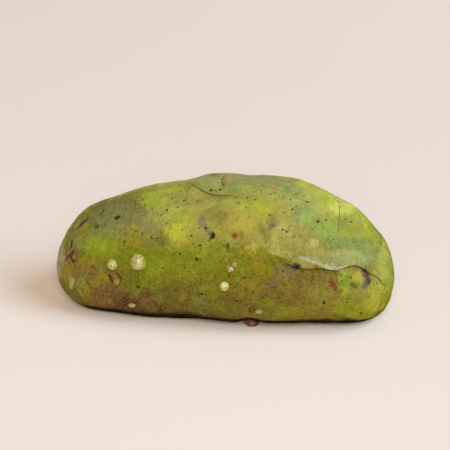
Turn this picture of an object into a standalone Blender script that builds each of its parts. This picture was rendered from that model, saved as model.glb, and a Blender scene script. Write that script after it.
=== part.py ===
"""A shelled pistachio kernel, lying on its belly. Metres, +Z up, with +X along the kernel to its blunt tip.

The skin is one closed surface: a sphere whose poles are the kernel's tips, with every vertex moved to the
place that the kernel's formula gives. Beads of dried sap and the scar of the stalk are joined to it.
Sizes are in millimetres, and MM turns them into metres. A place on the skin is its distance along X from
the middle, in millimetres, and its angle round the kernel: 0 at the front (-Y), 90 at the top.
"""

import bmesh
import bpy
import numpy as np
from mathutils import Matrix, Vector

MM = 0.001

# The body, from the pointed tip to the blunt one at ten equal steps of a half turn
HALF_LENGTH = 9.0
SPINE_HEIGHT = (2.07, 2.24, 2.74, 3.17, 3.50, 3.78, 3.78, 3.56, 3.05, 2.60, 2.40)
TO_TOP = (0.0, 1.56, 2.71, 3.10, 3.50, 3.60, 3.66, 3.28, 2.66, 1.50, 0.0)
TO_BELLY = (0.0, 1.45, 2.58, 3.08, 3.50, 3.76, 3.78, 3.45, 2.82, 1.74, 0.0)
TO_FRONT = (0.0, 1.45, 2.70, 3.28, 3.74, 3.98, 3.98, 3.60, 2.95, 1.80, 0.0)
TO_BACK = (0.0, 1.45, 2.70, 3.35, 3.80, 4.04, 4.04, 3.70, 2.95, 1.80, 0.0)
SPINE_DEPTH = -0.05
SECTION_POWER = 2.12  # 2 is an ellipse, and more is squarer
# The same for the front's lower quarter, at even steps of the sweep
LOW_FRONT_POWERS = (2.12, 2.36, 2.55, 2.65, 2.40, 2.42, 2.38, 2.24, 2.16, 2.12, 2.12)
BELLY_FLAT = 0.18  # the belly is cut this far up, which gives the spot that it rests on

# Swellings and hollows: place along, angle, reach along, reach around, height, and the power of the
# distance along: 2 is a bell, and more is a table with steeper ends
SWELLS = (
    (-0.1, 92.0, 1.20, 1.40, 0.21, 4),  # the crown
    (7.45, -10.0, 1.00, 1.35, 0.20, 2),  # the root tip, under the fold
    (7.60, 9.0, 0.35, 0.30, -0.12, 2),  # the pit in the root tip
    (5.30, 36.0, 1.50, 0.85, -0.10, 2),  # the valley over the fold
    (4.20, 70.0, 1.60, 1.20, 0.07, 2),  # the shoulder
    (5.40, -14.0, 0.90, 1.30, -0.10, 2),  # the hollow under the fold
    (-6.20, 48.0, 0.90, 1.20, -0.09, 2),  # the dent in the brow
    (-2.60, 2.0, 2.40, 1.80, 0.08, 2),  # the cheek
    (-1.90, 50.0, 0.80, 1.10, -0.06, 2),
    (1.60, -22.0, 1.80, 1.20, 0.05, 2),
    (-4.50, 165.0, 2.00, 1.60, 0.10, 2),
    (0.20, 195.0, 1.20, 1.80, -0.12, 2),
    (4.80, 170.0, 1.80, 1.50, 0.10, 2),
    (2.60, 140.0, 1.20, 1.00, -0.08, 2),
    (-2.05, 108.0, 0.60, 1.50, -0.08, 2),
    (-3.90, 108.0, 0.80, 1.50, 0.05, 2),
    (-6.10, 108.0, 0.75, 1.50, -0.07, 2),
    (-7.85, 105.0, 0.55, 1.20, 0.06, 2),
    (3.80, 108.0, 0.75, 1.50, 0.08, 2),
    (5.90, 110.0, 0.70, 1.50, -0.09, 2),
    (7.85, 112.0, 0.75, 1.60, -0.13, 2),
    (1.85, -58.0, 0.50, 0.80, -0.25, 2),
)

# The fold of skin over the root tip: angle at each place along, and its profile across
FOLD_ALONG = (1.80, 3.05, 4.00, 4.80, 5.60, 6.25, 6.70, 7.20, 7.75, 8.30, 8.65)
FOLD_ANGLE = (20.0, 18.2, 10.6, 10.2, 12.4, 13.5, 18.3, 22.4, 19.8, 16.5, 4.0)
FOLD_BEGINS, FOLD_FULL, FOLD_FADES, FOLD_ENDS = 2.7, 4.6, 8.35, 8.85
FLAP_HEIGHT, FLAP_REACH = 0.13, 1.7
LIP_HEIGHT, LIP_CENTRE, LIP_REACH = 0.10, 0.22, 0.20
CREVICE_DEPTH, CREVICE_CENTRE, CREVICE_REACH = 0.15, -0.10, 0.14

# The crease round the front of the crown, as places on the skin
CROWN_CREASE = ((-1.75, 88.0), (-1.15, 72.5), (-0.45, 64.5), (0.65, 62.0), (1.95, 60.0))
CROWN_CREASE_DEPTH, CROWN_CREASE_REACH = 0.12, 0.26

# Long waves that make the skin uneven: height, waves per millimetre along X, Y and Z, and phase
WAVES = (
    (0.030, 0.95, 0.40, 1.10, 0.4),
    (0.026, -0.60, 1.30, 0.70, 2.1),
    (0.022, 1.60, -0.80, 0.90, 4.4),
    (0.018, 0.50, 1.90, -1.60, 1.3),
)

# Beads of dried sap: place along, angle, radius, share of the radius that stands out, length to width
BEADS = (
    (-3.77, 9.5, 0.44, 1.18, 1.0),
    (-5.19, 8.0, 0.29, 1.20, 1.0),
    (0.70, -9.5, 0.26, 1.15, 1.0),
    (1.00, 4.0, 0.18, 1.10, 1.0),
    (1.19, 7.5, 0.15, 1.00, 1.0),
    (0.75, 10.5, 0.13, 0.80, 1.0),
    (-4.21, -29.5, 0.14, 0.60, 1.5),
    (2.39, -29.7, 0.13, 0.60, 1.5),
    (-1.60, 168.0, 0.33, 1.20, 1.0),
    (-2.35, 162.0, 0.20, 1.10, 1.0),
    (3.40, 186.0, 0.24, 1.10, 1.0),
)

# The scar of the stalk, at the belly: centre, half sizes, and the lean of its red tip
SCAR_CENTRE = (1.85, -2.12, 0.27)
SCAR_HALF_SIZES = (0.40, 0.38, 0.26)

SEGMENTS_ROUND = 70
RINGS_ALONG = 76
FRONT_CROWDING = 0.38  # how much closer the lines run at the fold's angle than on average
TIP_CROWDING = 0.12
CROWD_ANGLE = 11.0
FOLLOW_FOLD = 75.0  # lines within this many degrees of the fold bend along it

GREEN = (0.30, 0.36, 0.05, 1.0)


def through(values, steps, at_tips):
    """A smooth curve through values at even steps: steps runs from 0 to 1. at_tips is -1 for a distance
    that closes to zero at the tips, which makes them round, and 1 for a line that only passes them."""
    known = np.asarray(values, float)
    known = np.concatenate([[at_tips * known[1]], known, [at_tips * known[-2]]])
    place = np.clip(steps, 0, 1) * (len(values) - 1)
    index = np.clip(np.floor(place).astype(int), 0, len(values) - 2)
    f = place - index
    before, start, end, after = (known[index + k] for k in range(4))
    return 0.5 * (
        2 * start
        + (end - before) * f
        + (2 * before - 5 * start + 4 * end - after) * f**2
        + (3 * start - before - 3 * end + after) * f**3
    )


def ramp(value, low, high):
    """0 below low, 1 above high, and a smooth rise between them. low may be above high."""
    t = np.clip((value - low) / (high - low), 0, 1)
    return t * t * (3 - 2 * t)


def turn_between(angle, other):
    """The turn from other to angle, in radians from -pi to pi."""
    return (angle - other + np.pi) % (2 * np.pi) - np.pi


def section_radius(sweep, angle):
    """The body's radius at an angle round the spine: four quarters of a superellipse that meet."""
    steps = sweep / np.pi
    across, up = np.cos(angle), np.sin(angle)
    half_depth = np.where(across > 0, through(TO_FRONT, steps, -1), through(TO_BACK, steps, -1))
    half_height = np.where(up > 0, through(TO_TOP, steps, -1), through(TO_BELLY, steps, -1))
    least = 1e-9
    low_front = through(LOW_FRONT_POWERS, steps, 1)
    power = np.where((across > 0) & (up < 0), low_front, SECTION_POWER)
    across = np.abs(across / np.maximum(half_depth, least))
    up = np.abs(up / np.maximum(half_height, least))
    return (across**power + up**power) ** (-1 / power)


def body_points(sweep, angle, radius):
    """Points in millimetres at that radius from the spine."""
    x = -HALF_LENGTH * np.cos(sweep)
    y = SPINE_DEPTH - radius * np.cos(angle)
    z = through(SPINE_HEIGHT, sweep / np.pi, 1) + radius * np.sin(angle)
    return np.stack([x, y, z], axis=-1)


def fold_angle(x):
    """The fold's angle, in radians, at a place along the kernel."""
    known_x, known_angle = np.asarray(FOLD_ALONG), np.radians(FOLD_ANGLE)
    slope = np.gradient(known_angle, known_x)
    x = np.clip(x, known_x[0], known_x[-1])
    index = np.clip(np.searchsorted(known_x, x) - 1, 0, len(known_x) - 2)
    gap = known_x[index + 1] - known_x[index]
    f = (x - known_x[index]) / gap
    return (
        known_angle[index] * (1 + 2 * f) * (1 - f) ** 2
        + slope[index] * gap * f * (1 - f) ** 2
        + known_angle[index + 1] * f * f * (3 - 2 * f)
        + slope[index + 1] * gap * f * f * (f - 1)
    )


def fold_height(x, angle, radius):
    """How far the fold lifts or sinks the skin: a flap that ends in a rolled lip, over a crevice."""
    step = 0.02
    slope = (fold_angle(x + step) - fold_angle(x - step)) / (2 * step)
    across = radius * turn_between(angle, fold_angle(x)) / np.sqrt(1 + (radius * slope) ** 2)
    along = ramp(x, FOLD_BEGINS, FOLD_FULL) * ramp(x, FOLD_ENDS, FOLD_FADES)
    flap = FLAP_HEIGHT * ramp(across, -0.06, 0.10) * np.exp(-((across / FLAP_REACH) ** 2))
    lip = LIP_HEIGHT * np.exp(-(((across - LIP_CENTRE) / LIP_REACH) ** 2))
    crevice = CREVICE_DEPTH * np.exp(-(((across - CREVICE_CENTRE) / CREVICE_REACH) ** 2))
    return along * (flap + lip - crevice)


def swell_height(x, angle, radius):
    """The sum of the swellings and hollows, each a smooth mound."""
    height = np.zeros_like(x)
    for place, degrees, reach_along, reach_round, rise, power in SWELLS:
        along = np.abs((x - place) / reach_along)
        around = radius * turn_between(angle, np.radians(degrees)) / reach_round
        height += rise * np.exp(-(along**power) - around**2)
    return height


def wave_height(points):
    """Long, low waves through the body."""
    return sum(
        rise * np.sin(points @ np.array([kx, ky, kz]) + phase) for rise, kx, ky, kz, phase in WAVES
    )


def sweep_of(x):
    """The sweep, in radians from the pointed tip, at a place along the kernel."""
    return np.arccos(np.clip(-x / HALF_LENGTH, -1, 1))


def places_on_body(places):
    """Points on the smooth body at places given as (along, degrees)."""
    x, degrees = np.asarray(places, float).T
    sweep, angle = sweep_of(x), np.radians(degrees)
    return body_points(sweep, angle, section_radius(sweep, angle))


def distance_to_line(points, places, per_gap=8):
    """The distance of each point from a smooth line through places on the body."""
    knots = np.asarray(places, float)
    steps = np.linspace(0, 1, per_gap * (len(knots) - 1) + 1)
    ends = np.stack([2 * knots[0] - knots[1], *knots, 2 * knots[-1] - knots[-2]])
    place = steps * (len(knots) - 1)
    index = np.minimum(place.astype(int), len(knots) - 2)
    f = (place - index)[:, None]
    before, start, end, after = (ends[index + k] for k in range(4))
    line = 0.5 * (
        2 * start
        + (end - before) * f
        + (2 * before - 5 * start + 4 * end - after) * f**2
        + (3 * start - before - 3 * end + after) * f**3
    )
    line = places_on_body(line)
    return np.linalg.norm(points[:, None, :] - line[None, :, :], axis=2).min(axis=1)


def skin_points(sweep, angle):
    """Points of the finished skin, in millimetres."""
    radius = section_radius(sweep, angle)
    smooth = body_points(sweep, angle, radius)
    x = smooth[:, 0]
    height = swell_height(x, angle, radius) + fold_height(x, angle, radius) + wave_height(smooth)
    near_crease = distance_to_line(smooth, CROWN_CREASE) / CROWN_CREASE_REACH
    height -= CROWN_CREASE_DEPTH * np.exp(-(near_crease**2))
    height *= ramp(radius, 0.0, 1.2)  # the tips stay smooth
    points = body_points(sweep, angle, radius + height)
    points[:, 2] = np.maximum(points[:, 2], BELLY_FLAT) - BELLY_FLAT
    return points


def place_on_skin(x, degrees):
    """A point of the finished skin and the direction out of it there, both as vectors in millimetres."""
    sweep, angle, step = float(sweep_of(x)), np.radians(degrees), 0.02
    around = np.array([angle, angle, angle, angle - step, angle + step])
    along = np.array([sweep, sweep - step, sweep + step, sweep, sweep])
    here, before, after, under, over = (Vector(p) for p in skin_points(along, around))
    return here, (after - before).cross(under - over).normalized()


def make_skin():
    """The kernel's own body: a sphere with its poles at the tips, moved vertex by vertex to the skin."""
    mesh = bpy.data.meshes.new("pistachio_kernel")
    bm = bmesh.new()
    bmesh.ops.create_uvsphere(bm, u_segments=SEGMENTS_ROUND, v_segments=RINGS_ALONG, radius=1.0)
    bm.to_mesh(mesh)
    bm.free()
    sphere = np.empty(len(mesh.vertices) * 3)
    mesh.vertices.foreach_get("co", sphere)
    across, up, pole = sphere.reshape(-1, 3).T
    sweep = np.arccos(np.clip(-pole, -1, 1))
    sweep = sweep + TIP_CROWDING * np.sin(2 * sweep)
    turn = turn_between(np.arctan2(up, across), 0.0)
    angle = turn - FRONT_CROWDING * np.sin(turn)
    x = -HALF_LENGTH * np.cos(sweep)
    middle = np.radians(CROWD_ANGLE)
    angle = angle + middle + (fold_angle(x) - middle) * ramp(np.abs(angle), np.radians(FOLLOW_FOLD), 0.0)
    mesh.vertices.foreach_set("co", (skin_points(sweep, angle) * MM).ravel())
    bm = bmesh.new()
    bm.from_mesh(mesh)
    bmesh.ops.recalc_face_normals(bm, faces=bm.faces)
    bm.to_mesh(mesh)
    bm.free()
    kernel = bpy.data.objects.new("pistachio_kernel", mesh)
    return kernel


def add_pebble(name, collection, centre, half_sizes, out):
    """A small round body with its third half size along out, for a bead or the scar."""
    mesh = bpy.data.meshes.new(name)
    bm = bmesh.new()
    bmesh.ops.create_icosphere(bm, subdivisions=2, radius=1.0)
    turn = out.to_track_quat("Z", "X").to_matrix().to_4x4()
    grow = Matrix.Diagonal((*half_sizes, 1.0))
    bmesh.ops.transform(bm, matrix=Matrix.Translation(centre) @ turn @ grow, verts=bm.verts)
    bmesh.ops.scale(bm, vec=(MM, MM, MM), verts=bm.verts)
    bm.to_mesh(mesh)
    bm.free()
    pebble = bpy.data.objects.new(name, mesh)
    collection.objects.link(pebble)


def add_beads(collection):
    """Each bead stands out of the skin by its share of its radius, with the rest sunk in."""
    for number, (x, degrees, radius, out_share, stretch) in enumerate(BEADS, start=1):
        here, out = place_on_skin(x, degrees)
        centre = here + out * radius * (out_share - 1)
        long_side, short_side = radius * stretch, radius / np.sqrt(stretch)
        sizes = (long_side, short_side, radius)
        add_pebble(f"bead_{number:02d}", collection, centre, sizes, out)


def add_scar(collection):
    """The brown scar where the stalk came off, between the belly and what the kernel lies on."""
    centre, sizes = Vector(SCAR_CENTRE), SCAR_HALF_SIZES
    add_pebble("stalk_scar", collection, centre, sizes, Vector((0, 0, 1)))


def join(kernel, collection):
    """Unites the kernel with everything in the collection, and removes the collection."""
    union = kernel.modifiers.new("join", "BOOLEAN")
    union.operation = "UNION"
    union.operand_type = "COLLECTION"
    union.collection = collection
    union.solver = "EXACT"
    graph = bpy.context.evaluated_depsgraph_get()
    joined = bpy.data.meshes.new_from_object(kernel.evaluated_get(graph))
    kernel.modifiers.clear()
    kernel.data = joined
    for small in list(collection.objects):
        bpy.data.objects.remove(small)
    bpy.data.collections.remove(collection)


def kernel_material():
    """Matt yellow-green seed skin."""
    material = bpy.data.materials.new("kernel_skin")
    material.use_nodes = True
    shader = material.node_tree.nodes["Principled BSDF"]
    shader.inputs["Base Color"].default_value = GREEN
    shader.inputs["Roughness"].default_value = 0.55
    shader.inputs["Metallic"].default_value = 0.0
    material.diffuse_color = GREEN
    return material


def main():
    for old in list(bpy.data.objects):
        bpy.data.objects.remove(old)
    scene = bpy.context.scene.collection
    pistachio = bpy.data.collections.new("pistachio")
    scene.children.link(pistachio)
    small_parts = bpy.data.collections.new("beads_and_scar")
    scene.children.link(small_parts)
    kernel = make_skin()
    pistachio.objects.link(kernel)
    add_beads(small_parts)
    add_scar(small_parts)
    join(kernel, small_parts)
    kernel.data.materials.clear()
    kernel.data.materials.append(kernel_material())
    kernel.data.shade_smooth()


main()
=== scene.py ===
"""A shelled pistachio kernel on a pale table top, in soft light from the upper right.

The kernel is one skin worked out as a function of two parameters: how far along the kernel a point is, and
its angle round it. The same form is in the CAD model, and here it gets its finer folds, creases and pits.
The skin's colours are stains, specks and creases, each placed where the photograph shows it, on the point
of the skin that is seen there. Besides the skin's own colours, they carry painted shade in the creases, in
the crevice under the fold and where the skin turns under to the table, and a painted highlight on the fold's
lip;
the colour is also divided by the light that falls on the skin, so it is painted lighter where the lamps give
less.
They are kept as attributes of the mesh, which the material reads.

Sizes are in millimetres unless a name says otherwise, and MM turns them into metres. Angles in the tables
are in degrees: 0 is the kernel's front (-Y) and 90 its top.
"""

import itertools
import logging
from dataclasses import dataclass, field, replace
from enum import Enum
from typing import Union

import bpy
import numpy as np
from mathutils import Matrix, Vector

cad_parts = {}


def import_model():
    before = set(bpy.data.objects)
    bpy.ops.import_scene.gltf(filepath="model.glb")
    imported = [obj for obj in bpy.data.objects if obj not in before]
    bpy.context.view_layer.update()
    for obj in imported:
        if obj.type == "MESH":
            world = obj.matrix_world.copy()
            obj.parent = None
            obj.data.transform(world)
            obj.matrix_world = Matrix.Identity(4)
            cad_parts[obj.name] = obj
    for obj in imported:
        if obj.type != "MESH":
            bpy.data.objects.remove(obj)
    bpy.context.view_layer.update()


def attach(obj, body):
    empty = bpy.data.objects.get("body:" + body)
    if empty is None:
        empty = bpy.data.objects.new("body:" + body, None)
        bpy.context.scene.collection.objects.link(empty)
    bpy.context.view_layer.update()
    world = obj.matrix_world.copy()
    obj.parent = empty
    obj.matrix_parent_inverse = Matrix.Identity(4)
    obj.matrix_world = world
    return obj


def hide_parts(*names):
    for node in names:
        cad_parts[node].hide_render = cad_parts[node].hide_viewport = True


LOG = logging.getLogger("pistachio")

MM = 0.001
CAD_NODE = "pistachio_kernel"
BODY = "root"

Array = np.ndarray
Place = tuple[float, float]
Triple = tuple[float, float, float]
Shade = tuple[int, int, int]

# The lamps' places, for the studio and for the light that the skin's paint reckons with
KEY_PLACE: Triple = (536.0, -239.0, 434.0)
FRONT_PLACE: Triple = (113.0, -639.0, 345.0)


class Hue(Enum):
    """The colours of the skin as the eye sees them, with painted light and shade in them, in red, green and
    blue from 0 to 255.
    """

    LIME = (166, 172, 64)
    LEAF = (133, 138, 36)
    DEEP_LEAF = (122, 130, 24)
    BRIGHT_LEAF = (152, 164, 46)
    PALE_GREEN = (164, 182, 98)
    SEA_GREEN = (150, 180, 84)
    GREY_GREEN = (136, 152, 90)
    YELLOW = (192, 188, 58)
    PALE_YELLOW = (208, 210, 104)
    GOLD = (188, 170, 72)
    OLD_GOLD = (146, 126, 36)
    OCHRE = (166, 156, 84)
    PALE_OCHRE = (190, 178, 108)
    OLIVE = (140, 132, 62)
    DARK_OLIVE = (112, 104, 42)
    GREY_OLIVE = (124, 123, 70)
    STONE = (146, 144, 96)
    MOSS = (98, 100, 36)
    RUST = (146, 112, 46)
    BROWN = (128, 102, 50)
    PLUM_BROWN = (120, 88, 52)
    DUSK = (118, 104, 84)
    SMOKE = (132, 124, 96)
    RED = (138, 44, 34)
    ORANGE_RED = (160, 88, 30)
    BONE = (180, 171, 130)
    BRICK = (144, 76, 46)
    PINK_CLAY = (164, 134, 100)
    PRUNE = (98, 80, 66)
    MOSS_GREY = (112, 103, 56)
    KHAKI = (152, 144, 70)
    PEWTER = (148, 144, 88)
    STRAW = (168, 154, 68)
    WILLOW = (184, 184, 92)
    SAGE = (158, 162, 80)
    MIST = (168, 172, 112)
    FERN = (130, 124, 32)
    SOIL = (108, 92, 38)
    UMBER = (92, 68, 36)
    CLAY = (124, 104, 44)
    INK = (30, 25, 8)
    DRAB = (136, 118, 54)
    ROSE_GREY = (150, 130, 104)
    CREAM = (196, 186, 150)
    MAUVE = (104, 84, 84)


def to_linear(colour: Array) -> Array:
    """Turns display values from 0 to 255 into linear light from 0 to 1.

    Args:
        colour: Red, green and blue in the last axis.

    Returns:
        The same array in linear light, by the standard display curve.
    """
    share = np.clip(np.asarray(colour, float) / 255, 0, 1)
    return np.where(share <= 0.04045, share / 12.92, ((share + 0.055) / 1.055) ** 2.4)


def ramp(value: Array, low: float, high: float) -> Array:
    """A smooth step: 0 at low, 1 at high, with 3t^2 - 2t^3 between them. low may be above high."""
    t = np.clip((value - low) / (high - low), 0, 1)
    return t * t * (3 - 2 * t)


def bell(value: Array, centre: float, reach: float) -> Array:
    """A bell curve that is 1 at centre and falls to 1/e at that reach on both sides."""
    return np.exp(-(((value - centre) / reach) ** 2))


def turn_between(angle: Array, other: Array) -> Array:
    """The turn from other to angle, in radians from -pi to pi."""
    return (angle - other + np.pi) % (2 * np.pi) - np.pi


def following_cubic(around: tuple[Array, Array, Array, Array], f: Array) -> Array:
    """A cubic between two known values, whose slope at each follows the values on both its sides.

    Args:
        around: The value before the gap, the gap's start and end, and the value after it.
        f: The share of the gap, from 0 at its start to 1 at its end.

    Returns:
        The cubic's value at f.
    """
    before, start, end, after = around
    return 0.5 * (
        2 * start
        + (end - before) * f
        + (2 * before - 5 * start + 4 * end - after) * f**2
        + (3 * start - before - 3 * end + after) * f**3
    )


def smooth_line(knots: Array, per_gap: int) -> Array:
    """A smooth line through knots: a cubic in each gap, whose slope at a knot follows its neighbours.

    Args:
        knots: Points in rows.
        per_gap: How many points each gap is divided into.

    Returns:
        The line's points in rows, the first and last knot included.
    """
    ends = np.vstack([2 * knots[0] - knots[1], knots, 2 * knots[-1] - knots[-2]])
    place = np.linspace(0, len(knots) - 1, per_gap * (len(knots) - 1) + 1)
    index = np.minimum(place.astype(int), len(knots) - 2)
    return following_cubic(tuple(ends[index + k] for k in range(4)), (place - index)[:, None])


class SmoothNoise:
    """Gradient noise in space: random slopes at the corners of a cubic lattice, blended smoothly."""

    GAIN = 1.6  # brings the blend to about -1 to 1
    LAYER_SHIFT = 7.3  # moves each layer off the one before it

    def __init__(self, seed: int, lattice: int = 32) -> None:
        """Draws the lattice's slopes from a seeded generator."""
        slopes = np.random.default_rng(seed).normal(size=(lattice, lattice, lattice, 3))
        self.slopes = slopes / np.linalg.norm(slopes, axis=-1, keepdims=True)
        self.lattice = lattice

    def at(self, points: Array, wavelength: float) -> Array:
        """Noise at points: at each corner of a point's cell, that corner's slope times the way from it.

        Args:
            points: Points in rows.
            wavelength: The lattice's spacing, in the points' unit.

        Returns:
            A value for each point, mostly between -1 and 1.
        """
        place = points / wavelength
        cell = np.floor(place).astype(int)
        f = place - cell
        fade = f**3 * (f * (6 * f - 15) + 10)
        total = np.zeros(len(points))
        for corner in itertools.product((0, 1), repeat=3):
            i, j, k = ((cell + corner) % self.lattice).T
            share = np.prod(np.where(corner, fade, 1 - fade), axis=1)
            total += share * np.einsum("ij,ij->i", self.slopes[i, j, k], f - corner)
        return self.GAIN * total

    def layered(self, points: Array, wavelength: float, layers: int = 4, keep: float = 0.55) -> Array:
        """A sum of noises, each at half the wavelength of the last and keep times its height."""
        heights = keep ** np.arange(layers)
        total = sum(
            height * self.at(points + self.LAYER_SHIFT * n, wavelength / 2**n)
            for n, height in enumerate(heights)
        )
        return total / np.sqrt(np.sum(heights**2))


@dataclass(frozen=True)
class Viewpoint:
    """Where the photograph was taken from: the camera's own place, and what each point looks like to it."""

    azimuth: float = 9.0
    elevation: float = 20.0
    target: Triple = (0.1, 0.0, 4.71)
    distance: float = 65.5
    lens: float = 100.0
    sensor: float = 36.0
    picture: float = 450.0

    def axes(self) -> tuple[Array, Array, Array]:
        """The picture's right, its up, and the way back to the camera, as unit vectors."""
        a, e = np.radians([self.azimuth, self.elevation])
        right = np.array([np.cos(a), np.sin(a), 0.0])
        up = np.array([-np.sin(a) * np.sin(e), np.cos(a) * np.sin(e), np.cos(e)])
        back = np.array([np.sin(a) * np.cos(e), -np.cos(a) * np.cos(e), np.sin(e)])
        return right, up, back

    def eye(self) -> Array:
        """The camera's place."""
        return np.array(self.target) + self.axes()[2] * self.distance

    def pixel(self) -> float:
        """How large one pixel of the picture is at the target."""
        return self.distance * self.sensor / (self.lens * self.picture)

    def seen_at(self, points: Array) -> Array:
        """Where points appear, in pixels from the picture's top left corner."""
        right, up, back = self.axes()
        away = points - np.array(self.target)
        scale = self.lens / self.sensor * self.picture / (self.distance - away @ back)
        middle = self.picture / 2
        return np.stack([middle + scale * (away @ right), middle - scale * (away @ up)], axis=-1)

    def sight_line(self, at: Place) -> Array:
        """The unit vector from the camera through a place in the picture."""
        right, up, back = self.axes()
        per_pixel = self.sensor / (self.lens * self.picture)
        middle = self.picture / 2
        way = right * (at[0] - middle) * per_pixel - up * (at[1] - middle) * per_pixel - back
        return way / np.linalg.norm(way)


@dataclass(frozen=True)
class SkinMesh:
    """A closed surface of rings round an axis: its points and normals, and how they make faces."""

    points: Array
    normals: Array
    rings: int
    columns: int


def ring_faces(rings: int, columns: int) -> tuple[Array, Array]:
    """The faces of a closed surface of rings, whose two tips are the points after the last ring.

    Args:
        rings: Number of rings.
        columns: Number of points in each ring.

    Returns:
        The quads between the rings, and the triangles at the tips.
    """
    index = np.arange(rings * columns).reshape(rings, columns)
    following = np.roll(index, -1, axis=1)
    corners = (index[:-1], index[1:], following[1:], following[:-1])
    quads = np.stack([c.ravel() for c in corners], axis=-1)
    first_tip = np.full(columns, rings * columns)
    start = np.stack([first_tip, index[0], following[0]], axis=-1)
    end = np.stack([first_tip + 1, following[-1], index[-1]], axis=-1)
    return quads, np.concatenate([start, end])


def ring_normals(points: Array, rings: int, columns: int) -> Array:
    """Unit normals at the points: the sum of the cross products of each face's diagonals or sides."""
    quads, triangles = ring_faces(rings, columns)
    total = np.zeros_like(points)
    a, b, c, d = (points[quads[:, k]] for k in range(4))
    face = np.cross(c - a, d - b)
    for k in range(4):
        np.add.at(total, quads[:, k], face)
    a, b, c = (points[triangles[:, k]] for k in range(3))
    face = np.cross(b - a, c - a)
    for k in range(3):
        np.add.at(total, triangles[:, k], face)
    return total / np.linalg.norm(total, axis=1, keepdims=True)


def new_piece(name: str, points: Array, quads: Array, triangles: Array) -> bpy.types.Object:
    """Makes a smooth-shaded object in metres from points in millimetres, and links it to the scene."""
    mesh = bpy.data.meshes.new(name)
    mesh.from_pydata((points * MM).tolist(), [], quads.tolist() + triangles.tolist())
    mesh.update()
    mesh.shade_smooth()
    piece = bpy.data.objects.new(name, mesh)
    bpy.context.scene.collection.objects.link(piece)
    return piece


def set_numbers(piece: bpy.types.Object, name: str, values: Array) -> None:
    """Keeps one number for each point of a piece, for its material to read."""
    layer = piece.data.attributes.new(name, "FLOAT", "POINT")
    layer.data.foreach_set("value", np.asarray(values, np.float32))


def set_vectors(piece: bpy.types.Object, name: str, vectors: Array) -> None:
    """Keeps one vector for each point of a piece, for its material to read."""
    layer = piece.data.attributes.new(name, "FLOAT_VECTOR", "POINT")
    layer.data.foreach_set("vector", np.asarray(vectors, np.float32).ravel())


def set_colours(piece: bpy.types.Object, name: str, colours: Array) -> None:
    """Keeps one linear colour for each point of a piece, for its material to read."""
    layer = piece.data.attributes.new(name, "FLOAT_COLOR", "POINT")
    rgba = np.ones((len(colours), 4), np.float32)
    rgba[:, :3] = colours
    layer.data.foreach_set("color", rgba.ravel())


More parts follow.
